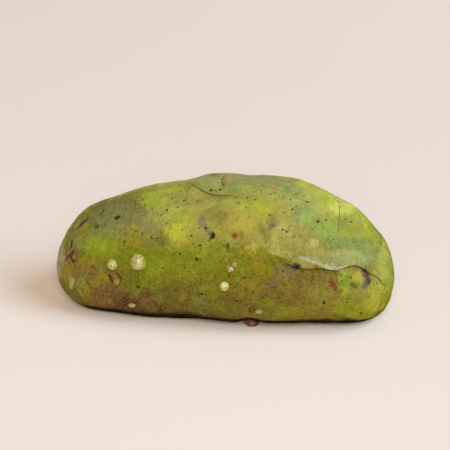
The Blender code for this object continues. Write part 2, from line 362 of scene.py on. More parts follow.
@dataclass(frozen=True)
class KernelForm:
    """The kernel's shape, as the CAD model has it, and the finer relief of its skin."""

    half_length: float = 9.0
    spine_height: tuple[float, ...] = (2.07, 2.24, 2.74, 3.17, 3.50, 3.78, 3.78, 3.56, 3.05, 2.60, 2.40)
    to_top: tuple[float, ...] = (0.0, 1.56, 2.71, 3.10, 3.50, 3.60, 3.66, 3.28, 2.66, 1.50, 0.0)
    to_belly: tuple[float, ...] = (0.0, 1.45, 2.58, 3.08, 3.50, 3.76, 3.78, 3.45, 2.82, 1.74, 0.0)
    to_front: tuple[float, ...] = (0.0, 1.45, 2.70, 3.28, 3.74, 3.98, 3.98, 3.60, 2.95, 1.80, 0.0)
    to_back: tuple[float, ...] = (0.0, 1.45, 2.70, 3.35, 3.80, 4.04, 4.04, 3.70, 2.95, 1.80, 0.0)
    spine_depth: float = -0.05
    section_power: float = 2.12
    low_front_powers: tuple[float, ...] = (2.12, 2.36, 2.55, 2.65, 2.40, 2.42, 2.38, 2.24, 2.16, 2.12, 2.12)
    belly_flat: float = 0.18

    # Place along, angle, reach along, reach around, height, power of the distance along
    swells: tuple[tuple[float, ...], ...] = (
        (-0.1, 92.0, 1.20, 1.40, 0.21, 4),
        (7.45, -10.0, 1.00, 1.35, 0.20, 2),
        (7.60, 9.0, 0.35, 0.30, -0.12, 2),
        (5.30, 36.0, 1.50, 0.85, -0.10, 2),
        (4.20, 70.0, 1.60, 1.20, 0.07, 2),
        (5.40, -14.0, 0.90, 1.30, -0.10, 2),
        (-6.20, 48.0, 0.90, 1.20, -0.09, 2),
        (-2.60, 2.0, 2.40, 1.80, 0.08, 2),
        (-1.90, 50.0, 0.80, 1.10, -0.06, 2),
        (1.60, -22.0, 1.80, 1.20, 0.05, 2),
        (-4.50, 165.0, 2.00, 1.60, 0.10, 2),
        (0.20, 195.0, 1.20, 1.80, -0.12, 2),
        (4.80, 170.0, 1.80, 1.50, 0.10, 2),
        (2.60, 140.0, 1.20, 1.00, -0.08, 2),
        (-2.05, 108.0, 0.60, 1.50, -0.08, 2),
        (-3.90, 108.0, 0.80, 1.50, 0.05, 2),
        (-6.10, 108.0, 0.75, 1.50, -0.07, 2),
        (-7.85, 105.0, 0.55, 1.20, 0.06, 2),
        (3.80, 108.0, 0.75, 1.50, 0.08, 2),
        (5.90, 110.0, 0.70, 1.50, -0.09, 2),
        (7.85, 112.0, 0.75, 1.60, -0.13, 2),
        (1.85, -58.0, 0.50, 0.80, -0.25, 2),
    )

    fold_along: tuple[float, ...] = (1.80, 3.05, 4.00, 4.80, 5.60, 6.25, 6.70, 7.20, 7.75, 8.30, 8.65)
    fold_degrees: tuple[float, ...] = (20.0, 18.2, 10.6, 10.2, 12.4, 13.5, 18.3, 22.4, 19.8, 16.5, 4.0)
    crevice_shade: tuple[float, ...] = (0.05, 0.15, 0.60, 0.45, 0.50, 0.70, 1.00, 1.00, 0.50, 0.30, 0.10)
    fold_begins: float = 2.7
    fold_full: float = 4.6
    fold_fades: float = 8.35
    fold_ends: float = 8.85
    flap_height: float = 0.13
    flap_reach: float = 1.7
    flap_rises: tuple[float, float] = (-0.04, 0.06)  # from the crevice up to the flap, across the fold
    lip_height: float = 0.10
    lip_centre: float = 0.17
    lip_reach: float = 0.15
    lip_overhang: float = 0.12
    lip_thins: tuple[float, float] = (6.3, 6.9)  # over the root tip the lip is thinner
    lip_thinned: float = 0.7
    crevice_depth: float = 0.15
    crevice_centre: float = -0.07
    crevice_reach: float = 0.09
    crevice_least: float = 0.35  # the share of its depth that it has all along
    forms_full_from: float = 1.2  # nearer to the spine, at the tips, the forms fade out

    # The groove round the front of the crown, as places along and angles
    crown_groove: tuple[Place, ...] = (
        (-1.75, 88.0),
        (-1.15, 72.5),
        (-0.45, 64.5),
        (0.65, 62.0),
        (1.95, 60.0),
    )
    crown_groove_depth: float = 0.12
    crown_groove_reach: float = 0.26

    # Height, waves per millimetre along X, Y and Z, and phase
    waves: tuple[tuple[float, ...], ...] = (
        (0.030, 0.95, 0.40, 1.10, 0.4),
        (0.026, -0.60, 1.30, 0.70, 2.1),
        (0.022, 1.60, -0.80, 0.90, 4.4),
        (0.018, 0.50, 1.90, -1.60, 1.3),
    )

    def through(self, values: tuple[float, ...], sweep: Array, at_tips: int) -> Array:
        """A smooth curve through values at even steps of the sweep from tip to tip.

        Args:
            values: The values at the steps.
            sweep: Where to read the curve, in radians from the pointed tip.
            at_tips: -1 for a distance that closes to zero at the tips, 1 for a line that passes them.

        Returns:
            The curve's value at each sweep: a cubic in each gap that follows its neighbours.
        """
        known = np.asarray(values, float)
        known = np.concatenate([[at_tips * known[1]], known, [at_tips * known[-2]]])
        place = np.clip(sweep / np.pi, 0, 1) * (len(values) - 1)
        index = np.clip(np.floor(place).astype(int), 0, len(values) - 2)
        return following_cubic(tuple(known[index + k] for k in range(4)), place - index)

    def along(self, sweep: Array) -> Array:
        """The place along the kernel at a sweep from the pointed tip."""
        return -self.half_length * np.cos(sweep)

    def section_radius(self, sweep: Array, angle: Array) -> Array:
        """The body's radius round its spine: four quarters of a superellipse that meet."""
        across, up = np.cos(angle), np.sin(angle)
        front, back = self.through(self.to_front, sweep, -1), self.through(self.to_back, sweep, -1)
        top, belly = self.through(self.to_top, sweep, -1), self.through(self.to_belly, sweep, -1)
        least = 1e-9
        low_front = self.through(self.low_front_powers, sweep, 1)
        power = np.where((across > 0) & (up < 0), low_front, self.section_power)
        across = np.abs(across / np.maximum(np.where(across > 0, front, back), least))
        up = np.abs(up / np.maximum(np.where(up > 0, top, belly), least))
        return (across**power + up**power) ** (-1 / power)

    def body_points(self, sweep: Array, angle: Array, radius: Array) -> Array:
        """Points at that radius from the spine, at that angle round it."""
        x = self.along(sweep)
        y = self.spine_depth - radius * np.cos(angle)
        z = self.through(self.spine_height, sweep, 1) + radius * np.sin(angle)
        return np.stack([x, y, z], axis=-1)

    def fold_angle(self, x: Array) -> Array:
        """The fold's angle in radians at a place along: a cubic in each gap, with slopes kept."""
        known_x, known_angle = np.asarray(self.fold_along), np.radians(self.fold_degrees)
        slope = np.gradient(known_angle, known_x)
        x = np.clip(x, known_x[0], known_x[-1])
        index = np.clip(np.searchsorted(known_x, x) - 1, 0, len(known_x) - 2)
        gap = known_x[index + 1] - known_x[index]
        f = (x - known_x[index]) / gap
        return (
            known_angle[index] * (1 + 2 * f) * (1 - f) ** 2
            + slope[index] * gap * f * (1 - f) ** 2
            + known_angle[index + 1] * f * f * (3 - 2 * f)
            + slope[index + 1] * gap * f * f * (f - 1)
        )

    def shade_along(self, x: Array) -> Array:
        """How deep the crevice is, and how much painted shade lies in it, at a place along the fold, from 0
        to 1, by straight steps.
        """
        return np.interp(x, self.fold_along, self.crevice_shade)

    def across_fold(self, x: Array, angle: Array, radius: Array) -> Array:
        """The distance over the skin from the fold's line, above it positive."""
        step = 0.02
        slope = (self.fold_angle(x + step) - self.fold_angle(x - step)) / (2 * step)
        return radius * turn_between(angle, self.fold_angle(x)) / np.sqrt(1 + (radius * slope) ** 2)

    def along_fold(self, x: Array) -> Array:
        """1 along the fold, and 0 past its two ends."""
        return ramp(x, self.fold_begins, self.fold_full) * ramp(x, self.fold_ends, self.fold_fades)

    def fold_height(self, x: Array, angle: Array, radius: Array) -> Array:
        """How far the fold lifts the skin: a flap that ends in a rolled lip, over a crevice."""
        across = self.across_fold(x, angle, radius)
        thickness = 1 - self.lip_thinned * ramp(x, *self.lip_thins)
        flap = self.flap_height * ramp(across, *self.flap_rises) * bell(across, 0.0, self.flap_reach)
        lip = self.lip_height * thickness * bell(across, self.lip_centre, self.lip_reach)
        crevice = self.crevice_depth * bell(across, self.crevice_centre, self.crevice_reach)
        crevice = crevice * (self.crevice_least + (1 - self.crevice_least) * self.shade_along(x))
        return self.along_fold(x) * (flap + lip - crevice)

    def swell_height(self, x: Array, angle: Array, radius: Array) -> Array:
        """The sum of the swellings and hollows, each a smooth mound."""
        height = np.zeros_like(x)
        for place, degrees, reach_along, reach_round, rise, power in self.swells:
            around = radius * turn_between(angle, np.radians(degrees)) / reach_round
            height += rise * np.exp(-(np.abs((x - place) / reach_along) ** power) - around**2)
        return height

    def wave_height(self, points: Array) -> Array:
        """Long, low waves through the body, each a sine of the place."""
        return sum(h * np.sin(points @ np.array([kx, ky, kz]) + phase) for h, kx, ky, kz, phase in self.waves)

    def groove_depth(self, points: Array) -> Array:
        """The depth of the groove round the crown: a bell over the distance from its smooth line."""
        along, degrees = smooth_line(np.array(self.crown_groove), 8).T
        sweep, angle = np.arccos(-along / self.half_length), np.radians(degrees)
        line = self.body_points(sweep, angle, self.section_radius(sweep, angle))
        apart = np.linalg.norm(points[:, None, :] - line[None, :, :], axis=2).min(axis=1)
        return self.crown_groove_depth * bell(apart, 0.0, self.crown_groove_reach)

    def skin_points(self, sweep: Array, angle: Array) -> Array:
        """Points of the skin with its large forms, before the fine relief."""
        radius = self.section_radius(sweep, angle)
        smooth = self.body_points(sweep, angle, radius)
        x = smooth[:, 0]
        height = self.swell_height(x, angle, radius) + self.fold_height(x, angle, radius)
        height = height - self.groove_depth(smooth)
        height = (height + self.wave_height(smooth)) * ramp(radius, 0.0, self.forms_full_from)
        return self.body_points(sweep, angle, radius + height)

    def sweep_of(self, x: float) -> float:
        """The sweep in radians at a place along the kernel."""
        return float(np.arccos(np.clip(-x / self.half_length, -1, 1)))

    def settle(self, points: Array) -> Array:
        """Lays the skin on the table: what is below the belly's flat is pressed up to it."""
        settled = points.copy()
        settled[:, 2] = np.maximum(points[:, 2], self.belly_flat) - self.belly_flat
        return settled


@dataclass(frozen=True)
class SkinGrid:
    """Where the skin's points lie: rings from tip to tip, closer together where more is to be seen."""

    rings: int = 300
    columns: int = 324
    front_crowding: float = 0.36
    tip_crowding: float = 0.12
    crowd_degrees: float = 11.0
    follow_fold: float = 75.0

    def places(self, form: KernelForm) -> tuple[Array, Array]:
        """The sweep and angle of every point, the two tips last.

        Args:
            form: The kernel's form, for the line of its fold, which the columns bend along.

        Returns:
            Two flat arrays in radians.
        """
        t = np.linspace(0, np.pi, self.rings + 2)[1:-1]
        sweep = t + self.tip_crowding * np.sin(2 * t)
        turn = turn_between(np.linspace(0, 2 * np.pi, self.columns, endpoint=False), 0.0)
        sweep, turn = (a.ravel() for a in np.meshgrid(sweep, turn, indexing="ij"))
        angle = turn - self.front_crowding * np.sin(turn)
        middle = np.radians(self.crowd_degrees)
        fold = form.fold_angle(form.along(sweep))
        pull = ramp(np.abs(angle), np.radians(self.follow_fold), 0.0)
        angle = angle + middle + (fold - middle) * pull
        return np.append(sweep, [0.0, np.pi]), np.append(angle, [0.0, 0.0])


@dataclass(frozen=True)
class Stain:
    """A patch of colour: where the picture shows its middle, and its half sizes there, in pixels."""

    at: Place
    wide: float
    tall: float
    hue: Hue
    strength: float = 0.7
    lean: float = 0.0


@dataclass(frozen=True)
class Speck:
    """A dark spot: where the picture shows it, its half width in pixels, its stretch and its lean."""

    at: Place
    size: float
    stretch: float = 1.0
    lean: float = 0.0
    dark: float = 0.85


@dataclass(frozen=True)
class Crease:
    """A fine line in the skin: the picture's places that it runs through, its half width and depth."""

    name: str
    through: tuple[Place, ...]
    half_width: float
    depth: float
    # how dark its line is painted: painted shade in the crease, with the crease's own darker skin
    dark: float = 0.7
    reach: float = 0.10
    fades: tuple[float, float] = (0.25, 0.25)


# The broad colours come first, and the smaller stains lie over them. Besides the skin's own colours, some
# stains are painted shade, as below the crown's groove and under the fold, and some are painted highlight, as
# on the fold's lip
WASHES = (
    Stain((140, 262), 90, 17, Hue.FERN, 0.9),
    Stain((215, 266), 70, 16, Hue.FERN, 0.85),
    Stain((235, 287), 70, 12, Hue.CLAY, 0.6),
    Stain((200, 300), 100, 16, Hue.SOIL, 0.9),
    Stain((110, 302), 65, 18, Hue.UMBER, 0.95),
    Stain((140, 312), 75, 10, Hue.UMBER, 0.8),
    Stain((82, 264), 26, 24, Hue.CLAY, 0.85),
    Stain((112, 278), 30, 14, Hue.CLAY, 0.7),
    Stain((200, 192), 75, 16, Hue.KHAKI, 0.9),
    Stain((262, 180), 55, 11, Hue.PEWTER, 0.9),
    Stain((208, 176), 30, 6, Hue.PEWTER, 0.8),
    Stain((150, 196), 34, 14, Hue.OLIVE, 0.7),
    Stain((128, 206), 28, 20, Hue.MOSS_GREY, 0.9, -20),
    Stain((94, 214), 36, 20, Hue.MOSS_GREY, 1.0, -35),
    Stain((72, 238), 16, 20, Hue.MOSS_GREY, 0.8, -20),
    Stain((235, 218), 60, 24, Hue.STRAW, 0.85),
    Stain((330, 200), 42, 22, Hue.WILLOW, 0.95, 30),
    Stain((350, 236), 48, 20, Hue.SAGE, 0.9, 20),
    Stain((384, 262), 20, 34, Hue.SAGE, 0.8),
    Stain((348, 259), 42, 9, Hue.MIST, 0.8),
    Stain((294, 298), 56, 24, Hue.CLAY, 0.85),
    Stain((368, 300), 32, 26, Hue.GOLD, 0.45),
    Stain((364, 280), 24, 14, Hue.KHAKI, 0.6),
)

LEFT_END_STAINS = (
    Stain((105, 222), 30, 15, Hue.GREY_OLIVE, 0.85, -20),
    Stain((82, 214), 10, 5, Hue.LEAF, 0.5, -40),
    Stain((82, 233), 9, 6, Hue.OLD_GOLD, 0.5, 20),
    Stain((88, 227), 5, 4, Hue.OLD_GOLD, 0.75),
    Stain((99, 247), 20, 13, Hue.LEAF, 0.85),
    Stain((98, 243), 9, 7, Hue.BRIGHT_LEAF, 0.4),
    Stain((92, 251), 7, 5, Hue.BRIGHT_LEAF, 0.4),
    Stain((108, 250), 9, 7, Hue.BRIGHT_LEAF, 0.35),
    Stain((62, 255), 4, 14, Hue.ROSE_GREY, 0.85, -12),
    Stain((59, 268), 4, 18, Hue.ROSE_GREY, 0.85),
    Stain((62, 286), 5, 12, Hue.PLUM_BROWN, 0.8, 15),
    Stain((66, 248), 4, 6, Hue.MOSS, 0.45),
    Stain((78, 242), 6, 8, Hue.OLIVE, 0.5),
    Stain((72, 258), 8, 8, Hue.PLUM_BROWN, 0.7),
    Stain((71.8, 254.6), 2.8, 5.4, Hue.BRICK, 0.85, 10),
    Stain((74, 261.5), 3.5, 1.8, Hue.RED, 0.5, 25),
    Stain((73.6, 257), 1.4, 2.8, Hue.PINK_CLAY, 0.6, 15),
    Stain((88, 262), 11, 5, Hue.OLD_GOLD, 0.75, 10),
    Stain((84, 266), 8, 4, Hue.RUST, 0.6),
    Stain((79, 273), 16, 12, Hue.BROWN, 0.7),
    Stain((92, 272), 8, 6, Hue.BROWN, 0.6),
    Stain((65, 271), 4, 6, Hue.RUST, 0.6),
    Stain((76, 290), 12, 14, Hue.DARK_OLIVE, 0.75, 35),
    Stain((82, 281), 4, 12, Hue.OLIVE, 0.55, 28),
    Stain((71.5, 284), 2.4, 6.5, Hue.PALE_OCHRE, 0.7, 18),
    Stain((70, 279), 2.0, 4.0, Hue.LIME, 0.4, 18),
    Stain((87, 294), 6, 9, Hue.OLD_GOLD, 0.75, 10),
    Stain((104, 277), 6, 4, Hue.OLD_GOLD, 0.85),
    Stain((96, 284), 7, 4, Hue.OLD_GOLD, 0.75),
    Stain((106, 294), 17, 10, Hue.PLUM_BROWN, 0.85),
    Stain((100, 302), 16, 5, Hue.BROWN, 0.6),
    Stain((115, 289), 8, 5, Hue.PLUM_BROWN, 0.7),
    Stain((114, 279), 8, 10, Hue.BROWN, 0.75),
    Stain((116.4, 281.6), 2.8, 3.0, Hue.GOLD, 0.65),
    Stain((114, 275.5), 3.2, 2.4, Hue.RUST, 0.5),
    Stain((82, 222.4), 6.8, 3.2, Hue.PRUNE, 0.85, -40),
    Stain((79, 217), 8, 6, Hue.MOSS, 0.4, -40),
    Stain((96.4, 226), 3.2, 2.8, Hue.MOSS, 0.85),
    Stain((103, 269), 6, 4, Hue.GREY_GREEN, 0.4),
)

BROW_STAINS = (
    Stain((120, 213), 10, 9, Hue.GREY_OLIVE, 0.7),
    Stain((126, 222), 6, 10, Hue.ROSE_GREY, 0.55),
    Stain((123, 230), 7, 8, Hue.OLIVE, 0.55),
    Stain((131, 217), 7, 12, Hue.OLIVE, 0.45),
    Stain((140, 215), 6, 12, Hue.GREY_OLIVE, 0.6),
    Stain((150, 232), 17, 10, Hue.OLIVE, 0.75, 30),
    Stain((145, 226), 8, 6, Hue.ROSE_GREY, 0.4, 20),
    Stain((163, 240), 6, 9, Hue.MOSS, 0.5, -20),
    Stain((148, 243), 10, 6, Hue.GREY_OLIVE, 0.4),
    Stain((128, 232), 6, 5, Hue.RUST, 0.35),
    Stain((137, 246), 5, 6, Hue.OLD_GOLD, 0.7),
    Stain((134, 238), 3, 5, Hue.RUST, 0.4),
    Stain((156, 200), 17, 10, Hue.LIME, 0.8),
    Stain((148, 194), 12, 5, Hue.BRIGHT_LEAF, 0.45),
    Stain((176, 217), 12, 9, Hue.LIME, 0.7),
    Stain((188, 217), 8, 9, Hue.LIME, 0.7),
    Stain((172, 190), 14, 4, Hue.LIME, 0.6),
    Stain((136, 196), 9, 5, Hue.OLIVE, 0.4),
    Stain((178, 232), 12, 9, Hue.YELLOW, 0.75),
    Stain((184, 241), 8, 6, Hue.GOLD, 0.55),
    Stain((172, 247), 8, 5, Hue.BRIGHT_LEAF, 0.5),
    Stain((190, 246), 8, 6, Hue.OLD_GOLD, 0.35),
)

CROWN_STAINS = (
    Stain((207, 177), 14, 3.4, Hue.STONE, 0.85),
    Stain((216, 175.5), 6, 2.4, Hue.SMOKE, 0.7),
    Stain((206, 184), 10, 4, Hue.GREY_GREEN, 0.6),
    Stain((190, 184), 11, 4, Hue.OLIVE, 0.7),
    Stain((216, 184), 5, 5, Hue.PALE_GREEN, 0.4),
    Stain((236, 182), 12, 5, Hue.STONE, 0.6),
    Stain((234, 187), 10, 4, Hue.GREY_GREEN, 0.6),
    Stain((224, 182), 3, 6, Hue.SMOKE, 0.6),
    Stain((256, 180), 20, 4.5, Hue.STONE, 0.8),
    Stain((268, 176.5), 16, 2.2, Hue.SMOKE, 0.5),
    Stain((196, 196), 9, 5, Hue.OCHRE, 0.55),
    Stain((213, 206), 20, 9, Hue.OCHRE, 0.7),
    Stain((214, 199), 14, 4, Hue.OLIVE, 0.55),
    Stain((219, 219), 9, 9, Hue.OLIVE, 0.8),
    Stain((212, 212), 10, 6, Hue.OLIVE, 0.5),
    Stain((202, 221), 4, 7, Hue.SMOKE, 0.7, -15),
    Stain((206, 228.5), 3.0, 5, Hue.DUSK, 0.7, -35),
    Stain((211, 233.5), 3.2, 3.0, Hue.DUSK, 0.7),
    Stain((213, 175.4), 6, 2.0, Hue.PLUM_BROWN, 0.35),
    Stain((234, 203), 12, 5, Hue.LIME, 0.45),
    Stain((247, 187), 10, 4, Hue.LIME, 0.5),
)

MIDDLE_STAINS = (
    Stain((240, 214), 7, 8, Hue.GOLD, 0.75),
    Stain((247, 222), 11, 9, Hue.GOLD, 0.85),
    Stain((238, 226), 9, 6, Hue.GOLD, 0.5),
    Stain((256, 206), 14, 9, Hue.LIME, 0.7),
    Stain((264, 213), 9, 8, Hue.YELLOW, 0.4),
    Stain((272, 196), 12, 7, Hue.WILLOW, 0.5),
    Stain((262, 198), 8, 4, Hue.LIME, 0.35),
    Stain((271, 219), 5, 6, Hue.SMOKE, 0.45),
    Stain((272.5, 226), 4, 2.8, Hue.DUSK, 0.6),
    Stain((270.5, 229.5), 3.2, 2.6, Hue.SMOKE, 0.7),
    Stain((261, 228), 3, 7, Hue.GREY_OLIVE, 0.5),
    Stain((267, 238), 7, 7, Hue.OLIVE, 0.75),
    Stain((275, 234), 5, 6, Hue.LIME, 0.75),
    Stain((275, 246), 7, 7, Hue.PALE_OCHRE, 0.6),
    Stain((255, 241), 8, 8, Hue.OCHRE, 0.7),
    Stain((243, 239), 5, 7, Hue.RUST, 0.2),
    Stain((252, 249), 7, 8, Hue.GOLD, 0.6),
    Stain((256, 262), 5, 9, Hue.RUST, 0.35),
    Stain((262, 270), 8, 8, Hue.OLD_GOLD, 0.5),
    Stain((216, 248), 10, 9, Hue.LEAF, 0.75),
    Stain((202, 250), 9, 8, Hue.BRIGHT_LEAF, 0.5),
    Stain((228, 247), 2.4, 4.5, Hue.MOSS, 0.75, -12),
    Stain((235, 236), 3.2, 3.2, Hue.BRICK, 0.7),
    Stain((235, 236), 1.8, 2.2, Hue.RED, 0.35),
    Stain((241.2, 234), 1.6, 3.2, Hue.RUST, 0.8, -10),
    Stain((241.5, 238.5), 2.0, 1.6, Hue.ORANGE_RED, 0.5),
    Stain((292, 202), 8, 5, Hue.PALE_GREEN, 0.75),
    Stain((287, 188), 11, 5, Hue.GREY_GREEN, 0.85, -10),
    Stain((299, 193), 8, 5, Hue.GREY_GREEN, 0.8, -35),
    Stain((308, 205), 9, 8, Hue.GREY_GREEN, 0.4, -40),
    Stain((305, 182), 8, 3.5, Hue.YELLOW, 0.8, -18),
    Stain((313, 190), 9, 5, Hue.LIME, 0.7, -28),
    Stain((307, 216), 11, 9, Hue.PALE_GREEN, 0.75),
    Stain((322, 208), 8, 9, Hue.WILLOW, 0.6),
    Stain((286, 214), 9, 8, Hue.WILLOW, 0.45),
    Stain((295, 217), 5, 7, Hue.STONE, 0.45),
    Stain((288, 232), 14, 9, Hue.PALE_OCHRE, 0.6),
    Stain((300, 238), 11, 9, Hue.OCHRE, 0.7),
    Stain((291, 246), 9, 8, Hue.OCHRE, 0.6),
    Stain((284, 254), 9, 4, Hue.PALE_OCHRE, 0.6),
    Stain((308, 249), 14, 7, Hue.OCHRE, 0.9),
    Stain((313, 243), 5, 4, Hue.PALE_OCHRE, 0.8),
    Stain((322, 252), 10, 6, Hue.OCHRE, 0.7),
)

FLAP_STAINS = (
    Stain((326, 229), 12, 8, Hue.SEA_GREEN, 0.6),
    Stain((341, 222), 13, 8, Hue.LIME, 0.35),
    Stain((335, 205), 7, 10, Hue.PALE_YELLOW, 0.8, -15),
    Stain((327, 199), 10, 7, Hue.LIME, 0.6, -30),
    Stain((347, 208), 11, 6, Hue.PALE_YELLOW, 0.75, -30),
    Stain((357, 213), 7, 5, Hue.LIME, 0.7, -40),
    Stain((346, 222), 10, 7, Hue.OLIVE, 0.2),
    Stain((352, 233), 13, 7, Hue.LIME, 0.5),
    Stain((369, 231), 9, 8, Hue.LIME, 0.7, -40),
    Stain((366, 222), 7, 5, Hue.YELLOW, 0.4, -40),
    Stain((332, 243), 9, 6, Hue.GREY_GREEN, 0.6),
    Stain((345, 243), 14, 6, Hue.GREY_GREEN, 0.5),
    Stain((358, 243), 12, 7, Hue.GREY_GREEN, 0.5),
    Stain((340, 253), 15, 6, Hue.MIST, 0.8),
    Stain((357, 256), 9, 5, Hue.MIST, 0.7),
    Stain((356, 258), 4, 3, Hue.LIME, 0.6),
    Stain((372, 256), 8, 9, Hue.GREY_GREEN, 0.5),
    Stain((372, 262), 4, 3, Hue.SMOKE, 0.5),
    Stain((384, 254), 7, 14, Hue.WILLOW, 0.7, 15),
    Stain((381, 276), 8, 11, Hue.WILLOW, 0.6, 30),
    Stain((390, 282), 3, 14, Hue.LIME, 0.5, 5),
    Stain((303, 260), 9, 5, Hue.OCHRE, 0.6),
    # The fold's lip: a cream band, its pale skin with a painted highlight along its rolled edge
    Stain((305, 258.6), 8, 2.6, Hue.CREAM, 0.65, 14),
    Stain((316, 262.4), 7, 2.6, Hue.CREAM, 0.7, 18),
    Stain((326, 265.4), 8, 3.0, Hue.CREAM, 0.7, 12),
    Stain((334, 267.4), 9, 2.8, Hue.CREAM, 0.8, 5),
    Stain((342, 267.4), 6, 2.6, Hue.CREAM, 0.75, -12),
    Stain((352, 262.6), 9, 1.6, Hue.BONE, 0.5, -4),
    Stain((364, 266), 4, 2.4, Hue.STONE, 0.6, 30),
    Stain((307, 266), 9, 3.2, Hue.OCHRE, 0.8, 6),
    Stain((316.0, 266.5), 2.2, 2.6, Hue.BRICK, 0.85),
    Stain((297.0, 266.2), 3.2, 3.0, Hue.PRUNE, 0.8),
    Stain((297.2, 266.4), 2.0, 2.0, Hue.INK, 0.6),
    Stain((317, 268.8), 2.0, 1.8, Hue.RUST, 0.7),
)

UNDER_FOLD_STAINS = (
    Stain((290, 269), 9, 6, Hue.DUSK, 0.55, -15),
    Stain((283, 276), 9, 8, Hue.DRAB, 0.5),
    Stain((276, 270), 2.4, 8, Hue.DUSK, 0.45),
    Stain((272, 285), 10, 7, Hue.BROWN, 0.6),
    Stain((272, 283), 6, 4, Hue.DUSK, 0.45),
    Stain((256, 284), 8, 6, Hue.OLD_GOLD, 0.5),
    Stain((285, 284), 10, 8, Hue.DRAB, 0.5),
    Stain((296, 281), 4, 8, Hue.LEAF, 0.45),
    Stain((302, 279), 2.4, 13, Hue.DARK_OLIVE, 0.7),
    Stain((316, 282), 15, 13, Hue.DRAB, 0.9),
    Stain((330, 276), 8, 6, Hue.DRAB, 0.7),
    Stain((304, 280), 10, 9, Hue.PLUM_BROWN, 0.5),
    Stain((288, 270), 8, 7, Hue.DUSK, 0.45),
    Stain((308, 292), 8, 12, Hue.DRAB, 0.7),
    Stain((322, 296), 10, 12, Hue.KHAKI, 0.55),
    Stain((304, 305), 10, 7, Hue.RUST, 0.6),
    Stain((318, 309), 14, 7, Hue.DRAB, 0.7),
    Stain((332, 293), 5, 10, Hue.OLIVE, 0.6),
    Stain((331, 300), 6, 8, Hue.OLD_GOLD, 0.5),
    Stain((331.6, 281.5), 2.4, 3.6, Hue.BRICK, 0.75, -12),
    Stain((333.6, 285.6), 2.2, 3.0, Hue.RED, 0.6, -25),
    Stain((335.4, 289), 2.0, 2.4, Hue.BRICK, 0.6, -30),
    Stain((338.6, 294), 2.2, 3.0, Hue.RUST, 0.7, -20),
    Stain((335, 297), 4, 4, Hue.RUST, 0.5),
    Stain((338, 309), 9, 5, Hue.LEAF, 0.35),
    Stain((288, 312), 16, 6, Hue.LEAF, 0.5),
    Stain((264, 312), 12, 6, Hue.DARK_OLIVE, 0.6),
    Stain((267, 303), 9, 5, Hue.DEEP_LEAF, 0.5),
)

ROOT_TIP_STAINS = (
    Stain((345, 282), 6, 10, Hue.BRIGHT_LEAF, 0.7),
    Stain((343, 276), 4, 5, Hue.PALE_GREEN, 0.5),
    Stain((355, 272), 7, 4, Hue.OCHRE, 0.6),
    Stain((360, 277), 8, 6, Hue.GOLD, 0.8),
    Stain((354, 268.8), 7, 2.0, Hue.PINK_CLAY, 0.6),
    Stain((364.4, 270.6), 4.0, 2.8, Hue.MAUVE, 0.85, 45),
    Stain((366.6, 275.6), 3.4, 5.0, Hue.MAUVE, 0.9, -25),
    Stain((368, 281.6), 4.2, 4.0, Hue.MAUVE, 0.85),
    Stain((364.8, 286.4), 3.6, 3.4, Hue.DUSK, 0.85),
    Stain((362, 291), 2.4, 3.6, Hue.SMOKE, 0.5),
    Stain((354, 286), 4, 3.6, Hue.DARK_OLIVE, 0.6),
    Stain((353, 295), 4, 8, Hue.OLIVE, 0.7, -15),
    Stain((356, 300), 5, 4, Hue.GREY_OLIVE, 0.5),
    Stain((362, 298), 7, 6, Hue.OLIVE, 0.45),
    Stain((376, 290), 7, 7, Hue.YELLOW, 0.45),
    Stain((374, 303), 9, 9, Hue.YELLOW, 0.5),
    Stain((372, 298), 5, 6, Hue.OCHRE, 0.35),
    Stain((384, 299), 4, 9, Hue.DEEP_LEAF, 0.5, 20),
    Stain((347, 305), 9, 9, Hue.LEAF, 0.7),
    Stain((358, 313), 13, 5, Hue.DEEP_LEAF, 0.5),
    Stain((346, 292), 4, 6, Hue.LIME, 0.55),
)

BELLY_STAINS = (
    Stain((146, 302), 9, 8, Hue.PLUM_BROWN, 0.75),
    Stain((152, 309), 6, 4, Hue.BROWN, 0.6),
    Stain((136, 281), 12, 8, Hue.DARK_OLIVE, 0.6),
    Stain((135, 294), 8, 6, Hue.OLIVE, 0.5),
    Stain((159, 298), 6, 5, Hue.OLIVE, 0.45),
    Stain((172, 292), 5, 6, Hue.DARK_OLIVE, 0.6),
    Stain((171, 305), 8, 7, Hue.DARK_OLIVE, 0.6),
    Stain((165, 308), 3, 4, Hue.MOSS, 0.5),
    Stain((182, 296), 7, 7, Hue.RUST, 0.5),
    Stain((208, 293), 15, 9, Hue.LEAF, 0.6),
    Stain((201, 302), 6, 7, Hue.GREY_OLIVE, 0.6),
    Stain((193, 293), 9, 5, Hue.DARK_OLIVE, 0.45),
    Stain((196, 308), 12, 5, Hue.DARK_OLIVE, 0.6),
    Stain((219, 306), 9, 6, Hue.LEAF, 0.3),
    Stain((236, 309), 9, 6, Hue.DARK_OLIVE, 0.35),
    Stain((252, 310), 3.6, 3.4, Hue.UMBER, 0.8),
    Stain((246, 315), 9, 3, Hue.BROWN, 0.5),
    Stain((155, 272), 7, 5, Hue.BRIGHT_LEAF, 0.4),
    Stain((160, 262), 14, 7, Hue.LEAF, 0.6),
    Stain((133, 262), 18, 9, Hue.DEEP_LEAF, 0.55),
    Stain((139, 263), 11, 12, Hue.DEEP_LEAF, 0.7),
    Stain((139, 270.4), 8, 2.4, Hue.MOSS, 0.6),
    Stain((112, 271), 6, 2.2, Hue.UMBER, 0.5),
    Stain((106, 267), 3, 5, Hue.MOSS, 0.5),
    Stain((182, 266), 18, 9, Hue.LEAF, 0.5),
    Stain((206, 266), 14, 9, Hue.LEAF, 0.55),
    Stain((222, 275), 10, 8, Hue.DEEP_LEAF, 0.5),
    Stain((231.4, 275.2), 2.6, 2.8, Hue.BRICK, 0.9),
    Stain((244, 288), 13, 9, Hue.OLD_GOLD, 0.4),
    Stain((238, 275), 8, 6, Hue.LEAF, 0.4),
)

